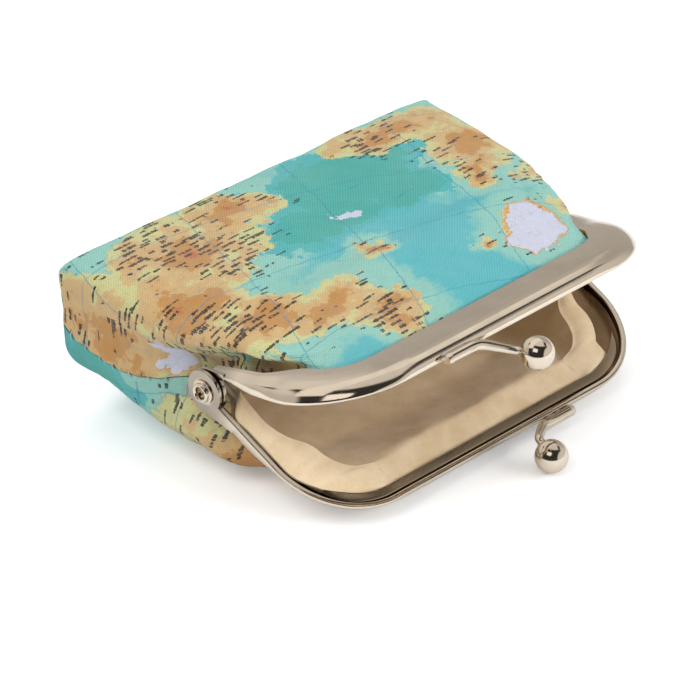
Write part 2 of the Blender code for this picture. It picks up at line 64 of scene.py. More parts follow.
MATING_GAP = 0.0003
PLATE_WIDENS = (0.0110, 0.0190)
PLATE_SHARES = ((0.0, 0.0), (0.04, 0.34), (0.14, 0.58), (0.36, 0.80), (0.66, 0.94), (1.0, 1.0))
STRAIGHT = ARM_LENGTH - CORNER_RADIUS
BEND = CORNER_RADIUS * math.pi / 2

# At the corners the pressing is rounder and its rim lower
CORNER_SHARES = (
    (0.0, 0.0), (0.03, 0.17), (0.06, 0.31), (0.10, 0.44), (0.15, 0.57), (0.21, 0.69), (0.30, 0.79),
    (0.45, 0.88), (0.70, 0.96), (1.0, 1.0),
)
CORNER_RIM_HEIGHT = 0.0005
SOFTENING = (-0.025, -0.012, 0.0, 0.012, 0.025)
ROUND_IN = (0.0130, 0.0200)
ROUND_OUT = (STRAIGHT + BEND * 0.85, STRAIGHT + BEND * 1.15)

# Hinge
EAR_THICKNESS = 0.0007
EAR_STEP = 0.0011
EAR_PROUD = 0.0001
EAR_SEEN_PROUD = 0.00002
EAR_SEEN_RADIUS = 0.0038
EAR_BEVEL = 0.00012
NECK_REACH = 0.0082
NECK_SHARE = 0.35
STEP_RUN = (0.0042, 0.0125)
LIFT_END = 0.0200
RIVET_RADIUS = 0.0015
RIVET_BORE_RADIUS = 0.0010
RIVET_RIM_RADIUS = 0.0022
RIVET_RIM_HEIGHT = 0.0008
HEAD_GAP = 0.00004
# The rivet's head from its bore to its rim: share of the way out, share of the way up
RIVET_HEAD = (
    (0.0, 0.40), (0.06, 0.80), (0.24, 1.0), (0.44, 1.0), (0.62, 0.80), (0.64, 0.34), (0.88, 0.36),
    (1.0, 0.26), (1.0, 0.0),
)
RIVET_FLARE_RADIUS = 0.0021
RIVET_FLARE_LENGTH = 0.0006
RUNNING_GAP = 0.00015
HINGE_CLEAR = 0.0013
UPPER_TILT = math.radians(16.2)
LOWER_TILT = math.radians(24.3)

# Clasp
BALL_RADIUS = 0.0029
BALL_REACH = 0.0414
BALL_LEAN = 0.0027
BALL_SIDE = 0.0030
STEM_RADIUS = 0.00095
STEM_NECK_RADIUS = 0.00073
STEM_END_SIDE = 0.0166
STEM_BEND_SIDE = 0.0092
STEM_KNEE_SIDE = 0.0039
STEM_KNEE_OUT = 0.0028
STEM_KNEE_LEAN = 0.0024
STEM_RISE = 0.0006
STEM_SWELLING = 0.00022
STEM_EDGE = 0.00018
BALL_TOP_ANGLE = 74
NEAR_AXIS = 0.00002
# Lumps of solder at the stem's foot: how far along it, how high, radius, and how much longer than wide
SOLDER_LUMPS = ((0.0007, 0.0002, 0.0007, 1.5), (0.0030, -0.0001, 0.00055, 2.4), (0.0056, 0.0, 0.0005, 2.0))

# Channel strip
STRIP_THICKNESS = 0.0003
STRIP_HEIGHT = 0.00045
STRIP_INSET = 0.0015
STRIP_START = 0.0275
STRIP_SEEN_INNER = 0.0031
STRIP_TAPER = 0.0045

# Bag
BAG_HALF_WIDTH = 0.0426
BAG_DEPTH = 0.0304
BAG_SKEW = 0.0013
BAG_TOP = 0.0300
CANVAS_THICKNESS = 0.0004
PADDING_THICKNESS = 0.0008
LINING_THICKNESS = 0.00035
LAYER_GAP = 0.00025
SEAM_GAP = 0.0003
CLAMP_INSET = 0.0030
CLAMP_HEIGHT = 0.0019
FREE_DROP = 0.0008
FREE_END = 0.0090
LINING_TUCK = (0.0205, 0.0255)
RIGHT_BARE_INSET = 0.0054
RIGHT_TUCK = (0.0250, 0.0292)
PILLOW_HEIGHT = 0.0004
FLARE_CLEAR = 0.0007
FLARE_START = 0.0028
FLARE_LENGTH = 0.0070
FOOT_HEIGHT = 0.0020
SINK_START_SHARE = 0.35
PADDED_FROM = 4

FRONT_SHARES = (
    (0.910, 1.0), (0.870, 1.0), (0.815, 1.0), (0.766, 1.0), (0.735, 1.0), (0.685, 1.0),
    (0.610, 0.95), (0.510, 0.85), (0.405, 0.70), (0.300, 0.50), (0.195, 0.30), (0.090, 0.12),
)
REAR_SHARES = (
    (0.10, 0.0, 0.575), (0.21, 0.24, 0.560), (0.34, 0.67, 0.530), (0.50, 0.93, 0.510),
    (0.68, 1.00, 0.520), (0.84, 1.00, 0.550), (0.95, 0.99, 0.575), (0.99, 0.97, 0.600),
    (1.0, 0.94, 0.625), (1.0, 0.90, 0.630),
)
FLAT_ROWS = ((0.0, 0.0, 2.5),) * 4
UPPER_FRONT_SHARES = (
    *FLAT_ROWS, (0.045, 0.0, 2.5), (0.090, 0.0, 2.6), (0.143, 0.0, 3.0), (0.203, 0.830, 3.8),
    (0.257, 0.885, 4.6), (0.303, 0.915, 5.2), (0.343, 0.940, 5.6), (0.373, 0.970, 6.2),
)
UPPER_REAR_SHARES = (
    (1.020, 0.990, 7.0), (1.020, 1.000, 8.0), (1.018, 1.004, 9.0), (1.015, 1.007, 11.0),
    (1.010, 1.010, 14.0), (1.005, 1.012, 18.0), (1.003, 1.014, 22.0), (1.000, 1.016, 24.0),
    (0.930, 1.010, 24.0), (0.630, 0.985, 24.0),
)
LOWER_FRONT_SHARES = (
    *FLAT_ROWS, (0.048, 0.0, 2.5), (0.105, 0.0, 2.5), (0.190, 0.76, 2.6), (0.290, 0.79, 2.8),
    (0.380, 0.830, 3.0), (0.450, 0.890, 3.0), (0.510, 0.950, 3.0), (0.560, 0.985, 3.0),
)
LOWER_REAR_SHARES = (
    (-0.040, 0.992, 3.0), (-0.040, 0.998, 3.0), (-0.040, 1.003, 2.8), (-0.040, 1.004, 2.5),
    (-0.030, 1.004, 2.3), (0.010, 1.003, 2.3), (0.110, 1.000, 3.0), (0.250, 0.995, 4.5),
    (0.420, 0.990, 6.0), (0.630, 0.985, 6.0),
)

# Where the cloth is let go: from the side edges, from the back row, from the front and from the base
FREE_EDGE = (0.10, 0.26)
FREE_ROWS = (1.0, 14.0)
FRONT_GRIP = (0.0215, 0.0260)
FLOOR_GRIP = (0.0006, 0.0040)

SEAM_ROWS = 8
SEAM_HEIGHT_MM = 17.0
STITCH_PITCH = 0.0034
STITCH_RADIUS = 0.00013
STITCH_REACH = 0.00062
STITCH_BULGE = 0.00046
STITCH_SUNK = 0.00002
STITCH_SLANT = 0.00028
# The dark roll that paints the shadow in the seam's gap: how far it sits in, and its radius
SEAM_SUNK = 0.00030
SEAM_ROLL_RADIUS = 0.00034
ROLL_REACH = ((0.003, 0.009), (0.0275, 0.0295))

# Over the upper arms the cloth stands up from the plate and folds out in a lip: reach, height, depth
UPPER_LIP = (
    (0.000, 0.0012, 0.0060), (0.003, 0.0022, 0.0046), (0.0065, 0.0030, 0.0036), (0.010, 0.0028, 0.0030),
    (0.0135, 0.0017, 0.0026), (0.017, 0.0008, 0.0024), (0.0204, 0.0006, 0.0034), (0.025, 0.0006, 0.0070),
)
# The edge of that lip on the left: reach, height over the plate, how far it leans out
LIP_FOLD = (
    (0.000, 0.0020, 0.0), (0.002, 0.0026, 0.0004), (0.0062, 0.0038, 0.0010), (0.0109, 0.0046, 0.0018),
    (0.0149, 0.0029, 0.0017), (0.0186, 0.0012, 0.0010), (0.0215, 0.0005, 0.0),
)
FOLD_REACHES, FOLD_HEIGHTS, FOLD_OUTS = (np.array(values) for values in zip(*LIP_FOLD))
# Where the fold, its pocket, the sink on the right and the creases begin and end
FOLD_OVER = ((-0.0022, 0.0), (0.0004, 0.0050))
POCKET_REACH = ((0.001, 0.006), (0.014, 0.020))
POCKET_DEPTH = 0.0014
SINK_HEIGHT = ((0.0010, 0.0060), (0.0105, 0.0150))
SINK_REACH = ((0.0, 0.005), (0.013, 0.019))
RIGHT_SINK = 0.0014
CREASE_REACH = ((-0.006, 0.002), (0.018, 0.025))
CREASE_HEIGHT = 0.00009

# Folds seen from above, in millimetres: start, end, width, height
UPPER_FOLDS_MM = (
    ((-36, 8), (-22, -12), 2.4, 0.7), ((-33, -2), (-14, -15), 1.8, -0.5), ((-40, 20), (-33, 8), 2.5, -0.5),
    ((36, 6), (24, -12), 2.4, 0.15), ((33, -4), (16, -15), 1.9, -0.20), ((40, 22), (34, 8), 2.4, -0.12),
    ((-20, 26), (6, 20), 4.5, 0.35), ((10, 8), (28, 16), 4.0, -0.3), ((-8, -6), (10, -13), 3.0, 0.3),
    ((-28, 14), (-12, 4), 3.4, 0.35), ((16, 26), (30, 33), 3.2, 0.3), ((-6, 12), (8, 2), 3.5, -0.25),
)
LOWER_FOLDS_MM = (
    *(((x * 38, 6), (x * 24, -10), 2.6, 0.6) for x in (-1, 1)),
    *(((x * 40, 24), (x * 32, 10), 3.0, -0.5) for x in (-1, 1)),
)

HINGE_HEIGHT = BALL_RADIUS + BALL_REACH * math.sin(LOWER_TILT) - BALL_LEAN * math.cos(LOWER_TILT)
FRONT_REACH = BALL_REACH * math.cos(UPPER_TILT) + BALL_LEAN * math.sin(UPPER_TILT) + BALL_RADIUS
HINGE_Y = (FRONT_REACH - BAG_DEPTH - BAG_SKEW) / 2
RIVET_SEAT = FRAME_WIDTH / 2 + EAR_PROUD - EAR_STEP - EAR_THICKNESS - RUNNING_GAP
HINGE_HALF_WIDTH = RIVET_SEAT - RIVET_FLARE_LENGTH - HINGE_CLEAR
HINGE = Matrix.Translation((0.0, HINGE_Y, HINGE_HEIGHT))
UPPER_PLACE = HINGE @ Matrix.Rotation(-UPPER_TILT, 4, "X")
LOWER_PLACE = HINGE @ Matrix.Rotation(LOWER_TILT, 4, "X") @ Matrix.Rotation(math.pi, 4, "Y")

# Camera, in degrees, metres and picture pixels
CAMERA_AZIMUTH = -45.42
CAMERA_ELEVATION = 31.43
CAMERA_ROLL = 0.19
CAMERA_TARGET = Vector((0.00679, HINGE_Y + 0.01223, 0.0))
CAMERA_DISTANCE = 0.8660
SENSOR_MM = 36.0
FOCAL_PIXELS = 4978.3
PICTURE_PIXELS = 700
CAMERA_SEES = (0.01, 20.0)

# Light
LAMPS = (
    ("key", -100.0, 52.0, 0.9, (0.55, 0.45), 3.6, (1.0, 0.985, 0.96)),
    ("fill", 30.0, 24.0, 0.8, (0.6, 0.35), 4.0, (1.0, 1.0, 1.0)),
    ("top", 150.0, 70.0, 1.0, (0.8, 0.6), 2.2, (1.0, 1.0, 1.0)),
)
# Cards that the metal mirrors: azimuth, elevation, half width and half height in degrees, brightness
CARDS = (
    (-60, 30, 52, 47, 0.035), (-70, 46, 15, 11, 1.25), (66, 48, 11, 7, 0.05), (178, 62, 40, 16, 1.0),
)
STUDIO_TINT = (1.0, 0.955, 0.90, 1.0)
MATT_TINT = (0.94, 0.97, 1.0, 1.0)
MATT_LEVEL = 0.62
FLOOR_HALF = 3.0
FLOOR_GAP = 0.0001
# How brightly the floor glows with the distance from the middle
FLOOR_GLOW = (0.25, 1.6, 0.22, 0.60)
# How the studio's walls darken to the right and to the left
STUDIO_RIGHT = (0.40, 0.64, 0.84, 0.50)
STUDIO_LEFT = (-0.70, -0.20, 0.74, 1.0)
STUDIO_FRONT = 0.78
STUDIO_CEILING = 0.80

# How fine the dressed pieces are
CLOTH_STEP = 0.00055
SIDE_COLUMNS = 40
TOP_COLUMNS = 44
ARM_STEPS = 40
CORNER_STEPS = 56
BAR_STEPS = 16
STEM_STEPS = 14
STEM_ROUNDINGS = 10
BALL_POINTS = 44
BEAD_POINTS = 5
TUCK_COLUMNS = 10
SIDE_RUN = np.linspace(0.0, 1.0, SIDE_COLUMNS)
TOP_RUN = np.linspace(1.0, 0.0, TOP_COLUMNS)[1:]
OUTER_SHARES = (0.0, 0.012, 0.026, 0.04, 0.06, 0.08, 0.095, 0.105, 0.115, 0.125, 0.14, 0.17, 0.21, 0.26,
                0.31, 0.36, 0.42, 0.48, 0.54, 0.60, 0.66, 0.72, 0.79, 0.86, 0.93, 1.0)
INNER_SHARES = (1.0, 0.8, 0.6, 0.4, 0.25, 0.12, 0.0)


def blend(low, high, share):
    return low + (high - low) * share


def smooth(value, low, high):
    """0 below low, 1 above high, and an even S between them."""
    share = np.clip((np.asarray(value, float) - low) / (high - low), 0.0, 1.0)
    return share * share * (3 - 2 * share)


def window(value, rise, fall):
    """1 after rise and before fall, and 0 outside them."""
    return smooth(value, *rise) * (1 - smooth(value, *fall))


def bell(value, width):
    return np.exp(-((value / width) ** 2))


def run_along(points):
    """The distance along a line of points from the first to each."""
    return np.concatenate([[0.0], np.cumsum(np.linalg.norm(np.diff(points, axis=0), axis=1))])


def ways_along(points):
    """The direction of a line at each of its points."""
    ways = np.gradient(points, axis=0)
    return ways / np.linalg.norm(ways, axis=1)[:, None]


# What differs between the two halves of the frame and of the bag; up is 1 where the cloth lies above
UPPER = SimpleNamespace(
    name="upper",
    body="upper_half",
    place=UPPER_PLACE,
    tilt=UPPER_TILT,
    up=1,
    plate_start=0.0008,
    ear_step=EAR_STEP,
    rim_lift=0.0019,
    growth=(-0.0020, -0.0010),
    neck=(0.0046, 0.0020, 0.0031),
    front=UPPER_FRONT_SHARES,
    rear=UPPER_REAR_SHARES,
    clamp=(0.0100, 0.0125),
    lip=tuple(zip(*UPPER_LIP)),
    lining_inset=0.0064,
    folds_mm=UPPER_FOLDS_MM,
    roll=0.00050,
)
LOWER = SimpleNamespace(
    name="lower",
    body="lower_half",
    place=LOWER_PLACE,
    tilt=LOWER_TILT,
    up=-1,
    plate_start=0.0034,
    ear_step=0.0,
    rim_lift=0.0,
    growth=(0.0030, 0.0090),
    neck=(NECK_REACH, MATING_GAP / 2 + RIM_THICKNESS / 4, blend(RIM_HEIGHT, PLATE_RISE, NECK_SHARE)),
    front=LOWER_FRONT_SHARES,
    rear=LOWER_REAR_SHARES,
    clamp=(0.0040, 0.0064),
    lip=((0.0,), (FLARE_CLEAR,), (FLARE_LENGTH,)),
    lining_inset=0.0021,
    folds_mm=LOWER_FOLDS_MM,
    roll=0.00022,
)


# Meshes


def new_object(name, data):
    obj = bpy.data.objects.new(name, data)
    bpy.context.scene.collection.objects.link(obj)
    return obj


def add_object(name, mesh, material):
    mesh.materials.append(material)
    mesh.shade_smooth()
    return new_object(name, mesh)


def built_mesh(name, builder):
    mesh = bpy.data.meshes.new(name)
    builder.to_mesh(mesh)
    builder.free()
    return mesh


def mesh_of(name, points, faces):
    mesh = bpy.data.meshes.new(name)
    mesh.from_pydata([tuple(point) for point in points], [], faces)
    builder = bmesh.new()
    builder.from_mesh(mesh)
    bmesh.ops.recalc_face_normals(builder, faces=builder.faces)
    builder.to_mesh(mesh)
    builder.free()
    return mesh


def turns(count):
    """Angles evenly all the way round, in radians."""
    return np.linspace(0, 2 * math.pi, count, endpoint=False)


def on_circle(radius, angles):
    return [(radius * math.cos(a), radius * math.sin(a)) for a in angles]


def metal_piece(obj, body, replaced=None):
    """Hides the solid that the plated piece stands for, if any, and attaches the piece to what it moves
    with.
    """
    if replaced:
        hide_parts(replaced)
    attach(obj, body)


def grid_faces(rows, columns, wrap=False, ring=False):
    """Faces over a grid of points, closed across and along where asked."""
    faces = []
    for i in range(rows if ring else rows - 1):
        a, b = i * columns, (i + 1) % rows * columns
        for j in range(columns if wrap else columns - 1):
            k = (j + 1) % columns
            faces.append((a + j, a + k, b + k, b + j))
    return faces


def closed_tube(rings):
    """Points and faces of a tube over rings of points, with flat ends."""
    points = [point for ring in rings for point in ring]
    count = len(rings[0])
    faces = grid_faces(len(rings), count, wrap=True)
    faces.append(tuple(range(count)))
    faces.append(tuple(range(len(points) - count, len(points))))
    return points, faces


def loft(name, rings, material, place):
    """A closed skin over rings with the same number of points, turned to its place."""
    points, faces = closed_tube(rings)
    points = [place @ Vector(point) for point in points]
    return add_object(name, mesh_of(name, points, faces), material)


def sharpen(obj, degrees):
    obj.data.set_sharp_from_angle(angle=math.radians(degrees))


def spline(values, places, wanted):
    """Catmull-Rom through values at places, read at wanted places."""
    values = np.asarray(values, float)
    places = np.asarray(places, float)
    slopes = np.gradient(values, places, axis=0, edge_order=1)
    index = np.clip(np.searchsorted(places, wanted, side="right") - 1, 0, len(places) - 2)
    span = places[index + 1] - places[index]
    t = (wanted - places[index]) / span
    shape = (-1,) + (1,) * (values.ndim - 1)
    t, span = t.reshape(shape), span.reshape(shape)
    a, b = values[index], values[index + 1]
    ta, tb = slopes[index] * span, slopes[index + 1] * span
    return (
        (2 * t**3 - 3 * t**2 + 1) * a + (t**3 - 2 * t**2 + t) * ta
        + (3 * t**2 - 2 * t**3) * b + (t**3 - t**2) * tb
    )


# Materials


def tone(red, green, blue):
    """A colour as it is written in a picture, from 0 to 255, made linear."""
    linear = []
    for value in (red, green, blue):
        share = value / 255
        linear.append(share / 12.92 if share <= 0.04045 else ((share + 0.055) / 1.055) ** 2.4)
    return (*linear, 1.0)


def darker(colour, share):
    return (*(part * share for part in colour[:3]), 1.0)


class Number:
    """A number in the nodes, ready for plain sums."""

    def __init__(self, graph, socket):
        self.graph = graph
        self.socket = socket

    def __add__(self, other):
        return self.graph.math("ADD", self, other)

    def __sub__(self, other):
        return self.graph.math("SUBTRACT", self, other)

    def __rsub__(self, other):
        return self.graph.math("SUBTRACT", other, self)

    def __mul__(self, other):
        return self.graph.math("MULTIPLY", self, other)

    def __truediv__(self, other):
        return self.graph.math("DIVIDE", self, other)

    def __lt__(self, other):
        return self.graph.math("LESS_THAN", self, other)

    def __gt__(self, other):
        return self.graph.math("GREATER_THAN", self, other)

    def __abs__(self):
        return self.graph.math("ABSOLUTE", self)


class Graph:
    """Short names for making nodes."""

    def __init__(self, tree):
        self.tree = tree

    def put(self, socket, value):
        value = getattr(value, "socket", value)
        if isinstance(value, bpy.types.NodeSocket):
            self.tree.links.new(value, socket)
        elif value is not None:
            socket.default_value = value

    def node(self, kind, inputs=(), output=0, **settings):
        """One output of a new node, its inputs given by number or by name."""
        made = self.tree.nodes.new(kind)
        for key, value in settings.items():
            setattr(made, key, value)
        for key, value in dict(inputs).items():
            self.put(made.inputs[key], value)
        return Number(self, made.outputs[output])

    def math(self, operation, *values):
        return self.node("ShaderNodeMath", enumerate(values), operation=operation)

    def vector(self, operation, *values):
        output = int(operation in ("LENGTH", "DISTANCE", "DOT_PRODUCT"))
        return self.node("ShaderNodeVectorMath", enumerate(values), output, operation=operation)

    def mix(self, share, a, b, mode="MIX"):
        inputs = {0: share, 6: a, 7: b}
        return self.node("ShaderNodeMix", inputs, 2, data_type="RGBA", blend_type=mode)

    def noise(self, place, scale, detail=4.0, rough=0.55, colour=False, twist=0.0):
        names = ("Vector", "Scale", "Detail", "Roughness", "Distortion")
        inputs = zip(names, (place, scale, detail, rough, twist))
        return self.node("ShaderNodeTexNoise", inputs, int(colour))

    def span(self, value, low, high, to_low=0.0, to_high=1.0):
        inputs = enumerate((value, low, high, to_low, to_high))
        return self.node("ShaderNodeMapRange", inputs, interpolation_type="SMOOTHSTEP")

    def ramp(self, value, stops):
        made = self.tree.nodes.new("ShaderNodeValToRGB")
        while len(made.color_ramp.elements) < len(stops):
            made.color_ramp.elements.new(0.5)
        for element, (at, colour) in zip(made.color_ramp.elements, stops):
            element.position = at
            element.color = colour
        self.put(made.inputs[0], value)
        return Number(self, made.outputs[0])

    def turned(self, place, centre, radii, angle):
        """The place seen from a centre, turned by an angle and measured in radii."""
        inputs = {
            "Vector": place, "Location": (*centre, 0.0), "Scale": (*radii, 1.0),
            "Rotation": (0.0, 0.0, math.radians(angle)),
        }
        return self.node("ShaderNodeMapping", inputs, vector_type="TEXTURE")

    def split(self, place):
        made = self.tree.nodes.new("ShaderNodeSeparateXYZ")
        self.put(made.inputs[0], place)
        return [Number(self, output) for output in made.outputs]

    def join(self, *parts):
        return self.node("ShaderNodeCombineXYZ", enumerate(parts))

    def chances(self, *cell):
        """Four random numbers for this cell of a grid."""
        made = self.tree.nodes.new("ShaderNodeTexWhiteNoise")
        made.noise_dimensions = "2D"
        self.put(made.inputs["Vector"], self.join(*cell))
        return [Number(self, made.outputs[0])] + self.split(made.outputs[1])

    def object_place(self):
        return self.node("ShaderNodeTexCoord", output="Object")

    def cloth_place(self):
        """Across and along the flat cloth in millimetres, then 1 on its inner face."""
        return self.node(
            "ShaderNodeAttribute", output="Vector", attribute_type="GEOMETRY", attribute_name="cloth_mm")

    def bump(self, height, distance, strength=1.0, normal=None):
        inputs = {"Height": height, "Distance": distance, "Strength": strength, "Normal": normal}
        return self.node("ShaderNodeBump", inputs)

    def ray(self, kind):
        return self.node("ShaderNodeLightPath", output=kind)


class Surface(Graph):
    """The nodes of a new material."""

    def __init__(self, name):
        self.material = bpy.data.materials.new(name)
        self.material.use_nodes = True
        super().__init__(self.material.node_tree)

    def shaded(self, inputs):
        """The material, with these inputs on its shader."""
        shader = self.tree.nodes["Principled BSDF"]
        for name, value in inputs.items():
            self.put(shader.inputs[name], value)
        return self.material


# How the darkening round the rivets, grime with painted shade in the cracks, begins beside the rivet's rim
# and fades out along the arm
GRIME_AND_SHADE_FROM = (0.0022, 0.0025)
GRIME_AND_SHADE_TO = (0.0034, 0.0085, 0.62, 0.0)


def nickel(name, base, roughness, wear):
    """Nickel plate: faint polishing lines, small pits, duller patches, and grime with painted shade round
    the rivets.
    """
    g = Surface(name)
    place = g.object_place()
    patches = g.noise(place, 140.0, 3.0)
    grain = g.noise(g.vector("MULTIPLY", place, (900.0, 5200.0, 5200.0)), 1.0, 2.0)
    pits = g.span(g.noise(place, 2600.0, 2.0), 0.66, 0.78)
    colour = g.mix(g.span(patches, 0.35, 0.7, 0.0, wear), base, darker(base, 0.72))
    beside = g.vector("MULTIPLY", place, (0.0, 1.0, 1.0))
    off_axis = g.vector("DISTANCE", beside, (0.0, HINGE_Y, HINGE_HEIGHT))
    # Painted shade with grime: the metal darkens round the rivets, between ear and rivet
    grime_and_shade = g.span(off_axis, *GRIME_AND_SHADE_FROM) * g.span(off_axis, *GRIME_AND_SHADE_TO)
    fine = g.bump(grain, 0.000004, 0.5)
    return g.shaded({
        "Base Color": g.mix(grime_and_shade, colour, darker(base, 0.30)),
        "Metallic": 1.0,
        "Roughness": g.span(patches, 0.3, 0.75, roughness, roughness * 1.7) + pits * 0.12,
        "Normal": g.bump(pits, 0.00002, 0.25, fine),
    })


# Centre, radii and turn of each patch of the print, in millimetres of cloth
UPPER_LAND_MM = (
    (-27, 50, 17, 12, 20), (-12, 56, 10, 7, 0), (-38, 38, 11, 10, 10),
    (-31, 26, 10, 7, -25), (-20, 22, 10, 6, 15), (-13, 14, 6, 8, 20),
    (27, 58, 15, 5, -12), (36, 46, 9, 9, 0), (30, 36, 8, 4.5, 20),
    (43, 30, 8, 5, 0), (37, 17, 6, 5, 0), (23, 16, 7, 6.5, 65),
    (12, 17.5, 2.6, 1.6, 30), (-4, 30, 3.6, 2.4, 0), (-52, 52, 13, 16, 0),
    (-55, 26, 10, 12, 0), (-44, 19, 9, 9, 0),
)
UPPER_DEEP_MM = (
    (10, 50, 15, 9, 10), (-2, 42, 12, 6, -10), (16, 41, 9, 4, 0),
)
UPPER_ICE_MM = ((23, 15.5, 6.4, 5.6, 65), (2.5, 40.5, 2.2, 1.5, 20), (-50, 40, 3.4, 2, 20))
# Painted shade: where the print is darkened in the pocket under the cloth's lip by the left arm
UPPER_POCKET_SHADE_MM = ((-43.5, 19, 5.5, 11, 0),)
LOWER_LAND_MM = (
    (-38, 20, 20, 22, 0), (5, 40, 22, 15, 15), (38, 60, 18, 16, 0),
    (-8, 74, 14, 8, 10), (34, 22, 12, 9, -20), (-40, 74, 8, 6, 0),
)
LOWER_DEEP_MM = ((-32, 56, 18, 10, 10), (18, 66, 8, 10, 0))
LOWER_ICE_MM = ((8, 42, 5, 3, 0),)

# Heights of the land from the coast up, each with its colour
LAND_STEPS = (
    (0.00, tone(214, 210, 148)), (0.175, tone(216, 208, 140)), (0.185, tone(220, 186, 130)),
    (0.48, tone(216, 176, 116)), (0.49, tone(206, 152, 86)), (0.86, tone(200, 144, 76)),
    (0.87, tone(202, 124, 78)), (1.00, tone(194, 112, 70)),
)
THREAD_PITCH_MM = 0.40


def patch_field(g, place, patches):
    """1 in the middle of the nearest patch, 0 at its edge and below 0 outside."""
    field = None
    for x, y, wide, long, angle in patches:
        inside = 1.0 - g.vector("LENGTH", g.turned(place, (x, y), (wide, long), angle))
        field = inside if field is None else g.math("MAXIMUM", field, inside)
    return field


def dashes(g, place, cell, bar, density, seed):
    """Short bars in rows, like the names on a map seen from too far off to read."""
    cell_wide, cell_high = cell
    bar_long, bar_high, letter = bar
    x, y, _ = g.split(g.vector("ADD", place, (seed, seed * 1.7, 0.0)))
    row = g.math("FLOOR", y / cell_high)
    shift = g.node("ShaderNodeTexWhiteNoise", {"W": row}, noise_dimensions="1D")
    along = x / cell_wide + shift * 7.0
    drawn, tall, long, _ = g.chances(row, g.math("FLOOR", along))
    mark = x / letter
    _, high, wide, blank = g.chances(row, g.math("FLOOR", mark))
    ragged = (g.noise(place, 6.0, 1.0) - 0.5) * 0.16
    off_row = abs(g.math("FRACT", y / cell_high) - 0.5) + ragged
    off_middle = abs(g.math("FRACT", along) - 0.5)
    half_high = (tall * 0.7 + 0.6) * (bar_high / cell_high / 2) * (high * 0.70 + 0.55)
    half_long = (long * 0.65 + 0.35) * (bar_long / cell_wide / 2)
    inked = (g.math("FRACT", mark) < wide * 0.6 + 0.60) * (blank > 0.08)
    inside = (off_row < half_high) * (off_middle < half_long) * (inked * 0.55 + 0.45)
    return inside * (drawn < density)


def sea_and_land(g, flat, land, deep, ice):
    """The print's areas of colour, with coasts and rivers."""
    hills = land + (g.noise(flat, 0.17, 5.0, 0.6) - 0.5) * 1.9
    depth = deep + (g.noise(flat, 0.09, 4.0) - 0.5) * 1.2
    away = land + (g.noise(flat, 0.12, 4.0) - 0.5)
    sea = g.mix(g.span(away, -0.95, -0.35), tone(96, 190, 192), tone(152, 208, 190))
    sea = g.mix(g.span(depth, -0.28, -0.22), sea, tone(88, 186, 182))
    sea = g.mix(g.span(depth, 0.02, 0.07), sea, tone(78, 178, 164))
    coast = g.span(land, -0.012, 0.012)
    colour = g.mix(coast, sea, g.ramp(hills * 0.8, LAND_STEPS))
    colour = g.mix(g.span(ice, -0.16, -0.10) * coast, colour, tone(222, 168, 96))
    colour = g.mix(g.span(ice, -0.01, 0.03), colour, tone(216, 216, 228))
    shore = 1.0 - g.span(abs(land), 0.0, 0.022)
    colour = g.mix(shore * 0.35, colour, tone(60, 150, 170))
    off_river = abs(g.noise(flat, 0.22, 6.0, 0.6) - 0.5)
    rivers = g.span(off_river, 0.0, 0.006, 1.0, 0.0) * coast
    return g.mix(rivers * 0.55, colour, tone(70, 140, 150)), coast


def grid_lines(g, place):
    """Two sets of thin curved lines, as on any map."""
    x, y, _ = g.split(place)
    first = (y + x * x * 0.0035 + x * 0.28) / 21.0
    second = (y * -0.30 + x) / 24.0
    offs = [abs(g.math("FRACT", value) - 0.5) for value in (first, second)]
    return g.math("MAXIMUM", *(g.span(off, 0.0035, 0.0065, 1.0, 0.0) for off in offs))


